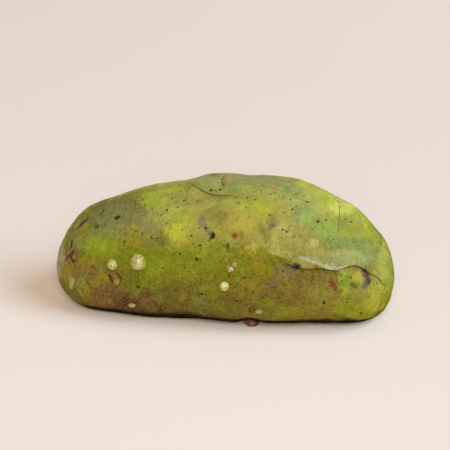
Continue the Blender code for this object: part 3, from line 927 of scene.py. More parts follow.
STAINS = (
    WASHES
    + BROW_STAINS
    + LEFT_END_STAINS
    + CROWN_STAINS
    + MIDDLE_STAINS
    + BELLY_STAINS
    + UNDER_FOLD_STAINS
    + ROOT_TIP_STAINS
    + FLAP_STAINS
)

SPECKS = (
    Speck((213, 236), 3.4, 1.15, 35, 0.95),
    Speck((209.6, 233.2), 1.0, 1.3, -40, 0.5),
    Speck((205.5, 228), 1.0, 1.8, 15),
    Speck((115.6, 217.8), 2.4, 1.5, -60),
    Speck((118.6, 216.4), 2.0, 1.5, -55),
    Speck((197, 259.5), 2.3, 1.1, 0, 0.95),
    Speck((180, 254), 1.25, 1.3, -50),
    Speck((184.5, 268), 1.1),
    Speck((202, 294), 1.9, 1.3, 90),
    Speck((237.6, 301.3), 1.4, 1.3, 40),
    Speck((244.6, 277.6), 1.3),
    Speck((252.5, 292.5), 1.2),
    Speck((229, 275), 1.5),
    Speck((227.8, 246), 1.4, 2.2, -12, 0.6),
    Speck((124.4, 242), 1.3, 1.3, -30),
    Speck((138.9, 287), 1.9, 1.2, -30),
    Speck((136, 286.2), 1.0, 1.5, 80, 0.4),
    Speck((162.6, 298.2), 1.0),
    Speck((145.2, 205.2), 1.1, 1.7, -30),
    Speck((152, 209), 1.0),
    Speck((167.1, 210.3), 1.3, 1.3, -20),
    Speck((163, 213.7), 0.9),
    Speck((161, 215), 0.8),
    Speck((171.5, 198.3), 1.0),
    Speck((178.4, 207.5), 1.0),
    Speck((183.5, 200.6), 1.2),
    Speck((186.5, 200), 0.9),
    Speck((166.4, 222.8), 1.1),
    Speck((175.3, 222), 1.0),
    Speck((182.2, 229.7), 1.2),
    Speck((151.2, 236.8), 1.2),
    Speck((153, 239), 1.1),
    Speck((156, 238.4), 0.9),
    Speck((142.1, 233.3), 0.9),
    Speck((131.4, 229.2), 0.9),
    Speck((126, 210), 0.8),
    Speck((147.5, 191.5), 0.8),
    Speck((103.6, 209.9), 1.2),
    Speck((96.8, 226), 2.0, 1.2, 10, 0.35),
    Speck((89.3, 252.2), 1.0),
    Speck((92, 247), 0.8),
    Speck((117, 258.5), 0.8),
    Speck((255.4, 199.4), 1.3),
    Speck((246.9, 197.3), 1.0),
    Speck((238.2, 202.6), 1.3, 1.3, 70, 0.65),
    Speck((245.8, 207.4), 0.9),
    Speck((210.8, 189.7), 1.3, 1.7, 90),
    Speck((219.9, 189.6), 1.2, 1.5, 90),
    Speck((180.5, 191.5), 1.0),
    Speck((197.5, 200.2), 0.9),
    Speck((261.3, 193), 1.0),
    Speck((267.3, 181.5), 0.9),
    Speck((270.4, 194.6), 0.9, 1.6, 90),
    Speck((275, 193.3), 0.8, 1.6, 90),
    Speck((290.6, 199.7), 1.4),
    Speck((292.3, 209.5), 1.3),
    Speck((283.4, 212.4), 1.1),
    Speck((276.8, 202.5), 0.8),
    Speck((282.4, 198), 0.8),
    Speck((296, 206.3), 1.1),
    Speck((269.6, 215.2), 1.0),
    Speck((267.4, 222.3), 0.8),
    Speck((282.5, 229.6), 1.1),
    Speck((286.5, 231.9), 1.1, 1.6, 75),
    Speck((282, 237.3), 0.9),
    Speck((294.9, 235.7), 1.1),
    Speck((255.3, 241.3), 0.8),
    Speck((241.8, 247.3), 1.0),
    Speck((208.5, 240.3), 0.9),
    Speck((200.3, 245.5), 1.2, 1.4, 80),
    Speck((198.3, 228.7), 1.0),
    Speck((191.5, 235.3), 1.1, 1.5, 85),
    Speck((318.3, 221.6), 1.7, 1.3, 75),
    Speck((326, 220.2), 1.1),
    Speck((323, 226), 0.7),
    Speck((312, 229.3), 1.3),
    Speck((309.3, 186.3), 1.0),
    Speck((296.6, 193.7), 1.0),
    Speck((306.7, 201.8), 1.2, 1.5, 85),
    Speck((328.1, 239.4), 1.1),
    Speck((345.3, 218.8), 1.0),
    Speck((351.3, 216), 0.9, 1.8, 0),
    Speck((351.5, 222), 1.3),
    Speck((345, 213.5), 0.7),
    Speck((359.3, 245.9), 1.0),
    Speck((376.5, 250.6), 0.9),
    Speck((369.5, 253), 0.7),
    Speck((338, 257.9), 0.8),
    Speck((331.5, 257.5), 0.7),
    Speck((297.4, 266.4), 2.0, 1.5, -50),
    Speck((283.1, 271.4), 1.1, 1.3, -30),
    Speck((263.6, 297.8), 1.0),
    Speck((279.3, 298), 1.1, 1.5, 85),
    Speck((274.5, 286.5), 0.8),
    Speck((291, 284), 0.8),
    Speck((311.5, 280.7), 0.9),
    Speck((317.6, 276.6), 0.8),
    Speck((305.2, 297.6), 0.9),
    Speck((324.0, 302.7), 1.6, 1.5, 0),
    Speck((323.8, 302.7), 1.2, 1.8, 90),
    Speck((322.3, 308.8), 1.1),
    Speck((361.2, 313.0), 1.5, 1.4, 90),
    Speck((380.8, 304.5), 1.3),
    Speck((347.7, 302.5), 0.9),
    Speck((369, 297.3), 0.9),
    Speck((351.1, 277.3), 1.1),
    Speck((342, 275.2), 1.2),
    Speck((342, 281), 1.1),
    Speck((346.8, 276.5), 0.8),
    Speck((355.5, 268.8), 0.7),
    Speck((368.5, 281.8), 1.5, 1.3, 40),
    Speck((364.5, 271), 1.5, 1.5, 45),
    Speck((334.8, 290.3), 0.9),
    Speck((306, 313.2), 0.8),
    Speck((225, 285.9), 0.6),
    Speck((165.5, 308.3), 1.3),
    Speck((158, 280), 0.8),
)

CREASES = (
    Crease("crown front",
           ((186, 180.5), (190, 183), (197, 187.6), (205, 191.8), (211, 194), (220, 194.9), (230, 195.5),
            (240, 196.9), (248, 198.3), (256, 199.5)),
           0.034, 0.07, 0.72, 0.16, (0.34, 0.60)),
    Crease("crown split", ((224.2, 173.6), (222.6, 177), (221.6, 180.5), (222.6, 183.6), (224.4, 187.6)),
           0.026, 0.05, 0.60, 0.12),
    Crease("crown split, foot", ((223.4, 187.6), (221.5, 189), (216, 189.8), (210.8, 189.9)),
           0.020, 0.02, 0.4),
    Crease("shoulder notch", ((331.5, 195.2), (335, 197.8), (338.3, 200.7), (340.7, 203.8)), 0.038, 0.05),
    Crease("shoulder line",
           ((340.4, 203), (339.8, 208), (340, 214.6), (339.3, 221), (338.8, 228), (338.7, 234),
            (338.9, 239.8)),
           0.022, 0.03, 0.65, 0.08, (0.15, 0.75)),
    Crease("left slit", ((74.5, 229), (78, 225.6), (81.5, 222.3), (85, 219.4), (89.5, 215)),
           0.085, 0.09, 0.68, 0.14),
    Crease("left slit, lower", ((70.9, 238.5), (70.4, 243.5), (70.2, 249)), 0.075, 0.08, 0.8, 0.14),
    Crease("left tip, line", ((74.8, 249), (70.5, 253), (66, 257.2), (62.8, 261)), 0.050, 0.06, 0.7, 0.12),
    Crease("left tip, hook", ((75, 249.5), (71.8, 252.6), (70.5, 256.6), (71.8, 260.6), (76, 262.4)),
           0.070, 0.08, 0.8),
    Crease("left wrinkle", ((80, 272.7), (84.7, 279.8), (88.8, 287.4), (91.8, 295)), 0.026, 0.05, 0.45, 0.12),
    Crease("left wrinkle, short", ((78.5, 287), (82, 292), (84.5, 297)), 0.020, 0.04, 0.4),
    Crease("left wrinkle, low", ((70, 292), (76, 299), (83, 304)), 0.020, 0.04, 0.4),
    Crease("left mark", ((108.2, 273.2), (109.4, 277), (110.6, 280), (113.0, 284.4)), 0.080, 0.07, 0.88),
    Crease("left mark, bow", ((113.6, 273.4), (117.5, 274.6), (120.2, 278.4), (121.6, 283.5)),
           0.070, 0.05, 0.62),
    Crease("left mark, end", ((113, 286), (115.5, 287), (118, 286.4)), 0.030, 0.02, 0.5),
    Crease("end slit", ((379.3, 239.4), (381.6, 242.7), (383.7, 245.8)), 0.070, 0.06, 0.8),
    Crease("end slit, tail", ((383, 245), (385.4, 247.4), (388, 249.4)), 0.022, 0.03),
    Crease("brow scratch", ((104, 209.6), (102, 212.5), (100, 215.6)), 0.030, 0.02),
    Crease("root tip, side", ((338.5, 272.5), (340.6, 276), (341.7, 281), (341.2, 288)), 0.014, 0.05, 0.4),
    Crease("flap scratch, first", ((327.5, 238.6), (331, 241.2), (334.5, 243.6)), 0.016, 0.02, 0.5),
    Crease("flap scratch, second", ((327, 242.8), (330.5, 245.2), (334, 247.4)), 0.014, 0.02, 0.5),
    Crease("flap scratch, third", ((329.5, 247.8), (332.5, 249.8), (335, 251)), 0.012, 0.02, 0.5),
    Crease("flap hair, upper", ((302, 257), (309, 258.4), (316, 260.4), (323, 263.4)), 0.008, 0.02, 0.5),
    Crease("flap hair, lower", ((318, 260.6), (324, 262.8), (330, 265), (338, 265.6), (346, 265.4)),
           0.012, 0.02, 0.6),
    Crease("fold, first trace",
           ((271, 254), (275, 256.3), (280, 258.6), (287, 260.9), (294, 263.5), (298, 266.5)),
           0.050, 0.02, 0.22, 0.16, (0.30, 0.10)),
    Crease("belly wrinkle", ((118, 304.8), (128, 306.4), (140, 306.5)), 0.014, 0.03, 0.5),
    Crease("under the crown, left", ((262, 187.5), (268, 185.6), (275, 184.8)), 0.012, 0.02, 0.5),
    Crease("lobe foot, upper", ((349, 285), (354, 286.5), (359, 290)), 0.030, 0.05, 0.35, 0.14),
)


# How far out from a stain's middle its colour starts and is full, in half sizes
STAIN_EDGE = (1.25, 0.55)


def ragged_edge(points: Array, noise: SmoothNoise) -> Array:
    """How far a stain's edge wavers at each point, in half sizes: a layered noise."""
    return 0.40 * noise.layered(points, 0.50, 4, 0.65)


@dataclass(frozen=True)
class SkinMarks:
    """Puts the stains, specks and creases of the picture on the points of a skin."""

    skin: SkinMesh
    view: Viewpoint = Viewpoint()
    noise: SmoothNoise = field(default_factory=lambda: SmoothNoise(11))
    stain_depth: float = 2.2
    speck_scale: float = 0.68
    spread: float = 0.22
    least_facing: float = 0.08  # marks go only on skin that is turned this much to the camera
    far: float = 0.4  # the distance that stands for no speck or crease near
    crease_fades: tuple[float, float] = (0.30, 0.15)  # a crease's marks end this far from its line

    def facing(self) -> Array:
        """How far each point's skin is turned to the camera: 1 full face, 0 edge on, below 0 hidden."""
        to_eye = self.view.eye() - self.skin.points
        to_eye /= np.linalg.norm(to_eye, axis=1, keepdims=True)
        return np.einsum("ij,ij->i", to_eye, self.skin.normals)

    def on_skin(self, at: Place) -> Array:
        """The point of the skin that is seen at a place in the picture.

        Args:
            at: The place, in pixels from the picture's top left corner.

        Returns:
            Where the sight line meets the plane of the skin at the nearest visible point.
        """
        seen = self.view.seen_at(self.skin.points)
        apart = np.hypot(seen[:, 0] - at[0], seen[:, 1] - at[1])
        apart[self.facing() < self.least_facing] = np.inf
        nearest = int(np.argmin(apart))
        point, normal = self.skin.points[nearest], self.skin.normals[nearest]
        eye, way = self.view.eye(), self.view.sight_line(at)
        reach = np.dot(point - eye, normal) / np.dot(way, normal)
        return eye + way * reach if abs(reach - np.linalg.norm(point - eye)) < 0.3 else point

    def ellipse(self, at: Place, wide: float, tall: float, lean: float, deep: float) -> Array:
        """Where each point lies in an ellipse on the skin, whose middle is 0 and whose edge is 1 away.

        Args:
            at: The middle's place in the picture.
            wide: Half the width as seen, in pixels.
            tall: Half the height as seen, in pixels.
            lean: The turn of the ellipse, in degrees clockwise.
            deep: How far back from the middle it reaches.

        Returns:
            The way from the middle in rows, measured in half sizes.
        """
        right, up, back = self.view.axes()
        way = self.skin.points - self.on_skin(at)
        turn = np.radians(lean)
        u = way @ (right * np.cos(turn) - up * np.sin(turn)) / (wide * self.view.pixel())
        v = way @ (right * np.sin(turn) + up * np.cos(turn)) / (tall * self.view.pixel())
        return np.stack([u, v, way @ back / deep], axis=-1)

    def stained(self, ground: Array) -> tuple[Array, Array]:
        """Lays every stain over the ground colour, one after the other, with ragged soft edges.

        Args:
            ground: The colour under the stains.

        Returns:
            The colours with the stains drawn in a little, and the colours with them spread a little.
        """
        points = self.skin.points
        ragged = ragged_edge(points, self.noise)
        tight, wide = ground.copy(), ground.copy()
        for number, stain in enumerate(STAINS):
            way = self.ellipse(stain.at, stain.wide, stain.tall, stain.lean, self.stain_depth)
            out = np.linalg.norm(way, axis=1) + ragged * (1 + 0.3 * np.sin(number))
            spread = self.spread * np.sin(7.0 * number + 1.0)
            for colour, shift in ((tight, spread), (wide, -spread)):
                cover = (stain.strength * ramp(out + shift, *STAIN_EDGE))[:, None]
                colour += (np.array(stain.hue.value) - colour) * cover
        return tight, wide

    def specks(self) -> tuple[Array, Array, Array]:
        """Finds the nearest speck to each point.

        Returns:
            The distance to its edge, negative inside it, the way from its middle in half sizes, and how
            dark it is. The way is exact between points too, as it changes evenly over a face.
        """
        count = len(self.skin.points)
        nearest, dark = np.full(count, self.far), np.zeros(count)
        way = np.tile([0.0, 0.0, 9.0], (count, 1))
        for speck in SPECKS:
            wide = self.speck_scale * speck.size
            size = wide * self.view.pixel()
            here = self.ellipse(speck.at, wide, wide * speck.stretch, speck.lean, 2.0 * size)
            edge = (np.linalg.norm(here, axis=1) - 1) * size
            closer = edge < nearest
            dark[closer] = speck.dark
            told = closer & (edge < self.far / 2)
            way[told] = here[told]
            nearest = np.minimum(nearest, edge)
        return nearest, way, dark

    def creases(self) -> tuple[Array, Array, Array, Array]:
        """Finds the nearest crease to each point.

        Returns:
            The signed distance over the skin from it, its half width there, how dark it is, and how deep
            it presses the skin in, the last three fading out at the crease's ends.
        """
        count = len(self.skin.points)
        nearest = np.full(count, np.inf)
        offset, half_width = np.full(count, self.far), np.zeros(count)
        dark, press = np.zeros(count), np.zeros(count)
        for crease in CREASES:
            knots = np.array([self.on_skin(at) for at in crease.through])
            line = smooth_line(knots, 10)
            near = np.flatnonzero(np.linalg.norm(self.skin.points - line.mean(axis=0), axis=1) < 2.5)
            way = self.skin.points[near, None, :] - line[None, :, :]
            closest = np.argmin(np.einsum("ijk,ijk->ij", way, way), axis=1)
            way = way[np.arange(len(near)), closest]
            along = np.gradient(line, axis=0)
            along = (along / np.linalg.norm(along, axis=1, keepdims=True))[closest]
            side = np.cross(along, self.skin.normals[near])
            apart = np.linalg.norm(way, axis=1)
            share = closest / (len(line) - 1)
            taper = ramp(share, 0.0, crease.fades[0]) * ramp(share, 1.0, 1 - crease.fades[1])
            fade = ramp(apart, *self.crease_fades)
            press[near] = np.maximum(press[near], crease.depth * taper * bell(apart, 0.0, crease.reach))
            closer = apart < nearest[near]
            took = near[closer]
            nearest[took] = apart[closer]
            offset[took] = np.einsum("ij,ij->i", way, side)[closer]
            half_width[took] = (crease.half_width * taper * fade)[closer]
            dark[took] = (crease.dark * ramp(taper, 0.0, 0.3) * fade)[closer]
        return offset, half_width, dark, press


@dataclass(frozen=True)
class KernelPaint:
    """The skin's colour all round: broad changes from top to belly, stains, and a fine mottle.

    It holds painted shade where the skin turns under to the table, and painted light where the lamps give
    less.
    """

    top: Hue = Hue.OCHRE
    flank: Hue = Hue.FERN
    belly: Hue = Hue.SOIL
    hidden_stains: int = 170
    seed: int = 29
    hidden_hues: tuple[Hue, ...] = (
        Hue.LIME,
        Hue.LEAF,
        Hue.BRIGHT_LEAF,
        Hue.GREY_OLIVE,
        Hue.OLIVE,
        Hue.GOLD,
        Hue.OCHRE,
        Hue.GREY_GREEN,
        Hue.SEA_GREEN,
        Hue.YELLOW,
        Hue.BROWN,
        Hue.PLUM_BROWN,
        Hue.RUST,
        Hue.DARK_OLIVE,
        Hue.SMOKE,
    )
    top_levels: tuple[float, float] = (3.4, 6.6)  # the heights over which the top's colour takes over
    belly_levels: tuple[float, float] = (2.6, 0.6)
    level_waver: float = 0.7
    seen_facing: tuple[float, float] = (-0.40, -0.10)  # how far turned away the picture's stains still go

    # How much light each source gives to skin that faces it, in red, green and blue
    from_sky: Triple = (0.165, 0.125, 0.093)
    from_table: Triple = (0.93, 0.815, 0.76)
    from_key: Triple = (0.561, 0.675, 0.851)
    from_front: Triple = (0.974, 0.812, 0.650)
    lamp_softness: float = 0.30

    darkest: Triple = (0.016, 0.009, 0.002)
    lightest: float = 0.95
    # Painted shade where the skin turns under to the table: how dark, over which slopes, how it wavers and
    # where it thins
    contact_painted_shade: float = 0.92
    contact_slope: tuple[float, float] = (-40.0, -52.0)  # degrees
    contact_waver: float = 2.5
    contact_thins: float = 3.0
    thins_along: tuple[float, float] = (-1.0, 6.0)

    def ground(self, skin: SkinMesh, noise: SmoothNoise) -> Array:
        """The colour under the stains: top, flank and belly by height, with a wavering border."""
        level = skin.points[:, 2] + self.level_waver * noise.layered(skin.points, 2.6, 3)
        top, flank, belly = (np.array(h.value, float) for h in (self.top, self.flank, self.belly))
        high = ramp(level, *self.top_levels)[:, None]
        low = ramp(level, *self.belly_levels)[:, None]
        return (flank * (1 - high) + top * high) * (1 - low) + low * belly

    def hidden_side(self, skin: SkinMesh, colour: Array, noise: SmoothNoise) -> Array:
        """Scatters stains of the same kind over the sides that the picture doesn't show.

        Args:
            skin: The skin.
            colour: The colour before these stains.
            noise: The noise that makes their edges ragged.

        Returns:
            The colour with the stains, each a soft ball of colour round a seeded random point.
        """
        draw = np.random.default_rng(self.seed)
        points = skin.points
        ragged = ragged_edge(points, noise)
        for _ in range(self.hidden_stains):
            middle = points[draw.integers(len(points))]
            reach = draw.uniform(0.35, 1.25) * np.array([1.0, draw.uniform(0.5, 1.0), draw.uniform(0.5, 1.0)])
            hue = self.hidden_hues[draw.integers(len(self.hidden_hues))]
            strength = draw.uniform(0.35, 0.8)
            out = np.linalg.norm((points - middle) / reach, axis=1) + ragged
            cover = (strength * ramp(out, *STAIN_EDGE))[:, None]
            colour = colour * (1 - cover) + np.array(hue.value) * cover
        return colour

    def mottle(self, points: Array, noise: SmoothNoise) -> Array:
        """A fine mottle: a factor for red, green and blue at each point, from three layered noises."""
        light = 1 + 0.060 * noise.layered(points + 3.1, 0.42, 4, 0.7)
        warm = 0.028 * noise.layered(points + 9.7, 0.75, 4, 0.65)
        streaks = noise.layered(points * np.array([3.2, 0.8, 0.8]) + 5.0, 0.55, 3)
        light = light + 0.030 * streaks
        return np.stack([light + warm, light, light - 1.6 * warm], axis=-1)

    def light_on(self, normals: Array) -> Array:
        """The light that falls on skin in the picture, in red, green and blue, for each normal.

        Args:
            normals: Unit normals in rows.

        Returns:
            The sky's light, which grows as the skin turns up, the table's, which grows as it turns down,
            and each lamp's, which grows with the cosine to it, with a soft end where the lamp sets.
        """
        rise = normals[:, 2:3]
        light = np.array(self.from_sky) * (1 + rise) / 2 + np.array(self.from_table) * (1 - rise) / 2
        for place, colour in ((KEY_PLACE, self.from_key), (FRONT_PLACE, self.from_front)):
            cosine = normals @ (np.array(place) / np.linalg.norm(place))
            soft = self.lamp_softness
            setting = np.clip(cosine + soft, 0, None) ** 2 / (4 * soft)
            light = light + np.where(cosine > soft, cosine, setting)[:, None] * np.array(colour)
        return light

    def contact_shade(self, skin: SkinMesh, noise: SmoothNoise) -> Array:
        """Painted shade where the skin turns under to the table: the factor on its colour, by its slope, 1
        away from there.
        """
        slope = np.degrees(np.arcsin(np.clip(skin.normals[:, 2], -1, 1)))
        slope = slope + self.contact_waver * noise.layered(skin.points, 1.2, 2)
        thin = self.contact_thins * ramp(skin.points[:, 0], *self.thins_along)
        return 1 - self.contact_painted_shade * ramp(slope + thin, *self.contact_slope)

    def colours(self, skin: SkinMesh, marks: SkinMarks) -> tuple[Array, Array]:
        """The skin's linear colour at each point, for stains drawn in and for stains spread: seen colours
        divided by the light that falls there, which paints the skin lighter where the lamps give less.
        """
        noise = marks.noise
        ground = self.ground(skin, noise)
        hidden = self.hidden_side(skin, ground, noise)
        facing = marks.facing() + 0.08 * noise.layered(skin.points, 0.8, 2)
        seen = ramp(facing, *self.seen_facing)[:, None]
        # The mottle, times the painted shade where the skin turns under
        change = self.mottle(skin.points, noise) * self.contact_shade(skin, noise)[:, None]
        light = self.light_on(skin.normals)
        both = []
        for shown in marks.stained(ground):
            # Seen colour divided by the light here: painted light where the skin gets less of it
            own = to_linear((hidden * (1 - seen) + shown * seen) * change) / light
            both.append(np.clip(own, self.darkest, self.lightest))
        return both[0], both[1]


Value = Union["Wire", float, tuple[float, ...]]


class Wire:
    """One output of a shader node. Arithmetic on it adds Math nodes to the same material."""

    def __init__(self, tree: bpy.types.NodeTree, socket: bpy.types.NodeSocket) -> None:
        """Keeps the output and the tree that it belongs to."""
        self.tree = tree
        self.socket = socket

    def math(self, operation: str, *values: Value) -> "Wire":
        """Adds one Math node with these values and returns its result."""
        node = self.tree.nodes.new("ShaderNodeMath")
        node.operation = operation
        for slot, value in zip(node.inputs, values):
            plug(self.tree, slot, value)
        return Wire(self.tree, node.outputs[0])

    def __add__(self, other: Value) -> "Wire":
        """self + other."""
        return self.math("ADD", self, other)

    __radd__ = __add__

    def __sub__(self, other: Value) -> "Wire":
        """self - other."""
        return self.math("SUBTRACT", self, other)

    def __rsub__(self, other: Value) -> "Wire":
        """other - self."""
        return self.math("SUBTRACT", other, self)

    def __mul__(self, other: Value) -> "Wire":
        """self * other."""
        return self.math("MULTIPLY", self, other)

    __rmul__ = __mul__

    def __truediv__(self, other: Value) -> "Wire":
        """self / other."""
        return self.math("DIVIDE", self, other)

    def __abs__(self) -> "Wire":
        """The value without its sign."""
        return self.math("ABSOLUTE", self)

    def at_least(self, other: Value) -> "Wire":
        """The larger of the two."""
        return self.math("MAXIMUM", self, other)


def plug(tree: bpy.types.NodeTree, slot: bpy.types.NodeSocket, value: Value) -> None:
    """Links a wire to an input, or sets the input to a plain value."""
    if isinstance(value, Wire):
        tree.links.new(value.socket, slot)
    else:
        slot.default_value = value


class Finish:
    """A material under construction, with one Principled shader."""

    def __init__(self, name: str) -> None:
        """Makes an empty material and its shader and output."""
        self.material = bpy.data.materials.new(name)
        self.material.use_nodes = True
        self.tree = self.material.node_tree
        self.shader = self.tree.nodes["Principled BSDF"]

    def node(
        self, kind: str, settings: dict[str, object], inputs: dict[Union[str, int], Value]
    ) -> bpy.types.Node:
        """Adds a node.

        Args:
            kind: The node's type.
            settings: Its own settings, such as an operation, which are set first.
            inputs: Values or wires for its inputs, by name or number.

        Returns:
            The new node.
        """
        node = self.tree.nodes.new(kind)
        for name, value in settings.items():
            setattr(node, name, value)
        for key, value in inputs.items():
            plug(self.tree, node.inputs[key], value)
        return node

    def wire(self, node: bpy.types.Node, output: Union[str, int] = 0) -> Wire:
        """One output of a node as a wire."""
        return Wire(self.tree, node.outputs[output])

    def place(self) -> Wire:
        """The place on the object, in millimetres."""
        spot = self.wire(self.node("ShaderNodeTexCoord", {}, {}), "Object")
        return self.scaled(spot, 1 / MM)

    def vectors(
        self, operation: str, inputs: dict[Union[str, int], Value], output: Union[str, int] = 0
    ) -> Wire:
        """One Vector Math node's result on vectors or colours."""
        return self.wire(self.node("ShaderNodeVectorMath", {"operation": operation}, inputs), output)

    def scaled(self, vector: Value, factor: Value) -> Wire:
        """A vector or colour times a number."""
        return self.vectors("SCALE", {0: vector, "Scale": factor})

    def moved(self, vector: Value, by: Value) -> Wire:
        """The sum of two vectors or colours."""
        return self.vectors("ADD", {0: vector, 1: by})

    def length(self, vector: Value) -> Wire:
        """How long a vector is."""
        return self.vectors("LENGTH", {0: vector}, "Value")

    def noise(self, place: Wire, per_mm: float, detail: float = 3.0, roughness: float = 0.55) -> Wire:
        """Noise from -1 to 1, round zero, with that many waves in a millimetre."""
        inputs = {"Vector": place, "Scale": per_mm, "Detail": detail, "Roughness": roughness}
        return self.wire(self.node("ShaderNodeTexNoise", {}, inputs), "Fac") * 2.0 - 1.0

    def ramp(self, value: Value, low: Value, high: Value) -> Wire:
        """A smooth step: 0 at low, 1 at high."""
        inputs = {"Value": value, "From Min": low, "From Max": high}
        settings = {"interpolation_type": "SMOOTHSTEP", "clamp": True}
        return self.wire(self.node("ShaderNodeMapRange", settings, inputs))

    def mix(self, share: Value, under: Value, over: Value) -> Wire:
        """A colour between two, over's part of it being share."""
        node = self.node("ShaderNodeMix", {"data_type": "RGBA"}, {0: share, 6: under, 7: over})
        return self.wire(node, 2)

    def attribute(self, name: str, output: str = "Fac") -> Wire:
        """What the mesh keeps under that name at each point."""
        return self.wire(self.node("ShaderNodeAttribute", {"attribute_name": name}, {}), output)

    def bump(self, height: Wire, distance: float, strength: float = 1.0) -> None:
        """Gives the shader a bumped normal, with heights in units of distance."""
        inputs = {"Height": height, "Distance": distance * MM, "Strength": strength}
        self.set("Normal", self.wire(self.node("ShaderNodeBump", {}, inputs)))

    def set(self, name: str, value: Value) -> None:
        """Sets or links one input of the shader."""
        plug(self.tree, self.shader.inputs[name], value)


def linear_colour(hue: Union[Hue, Shade], gain: float = 1.0) -> tuple[float, ...]:
    """A hue as a linear colour with alpha, made lighter or darker by gain."""
    seen = hue.value if isinstance(hue, Hue) else hue
    return (*(float(c) for c in to_linear(np.array(seen)) * gain), 1.0)


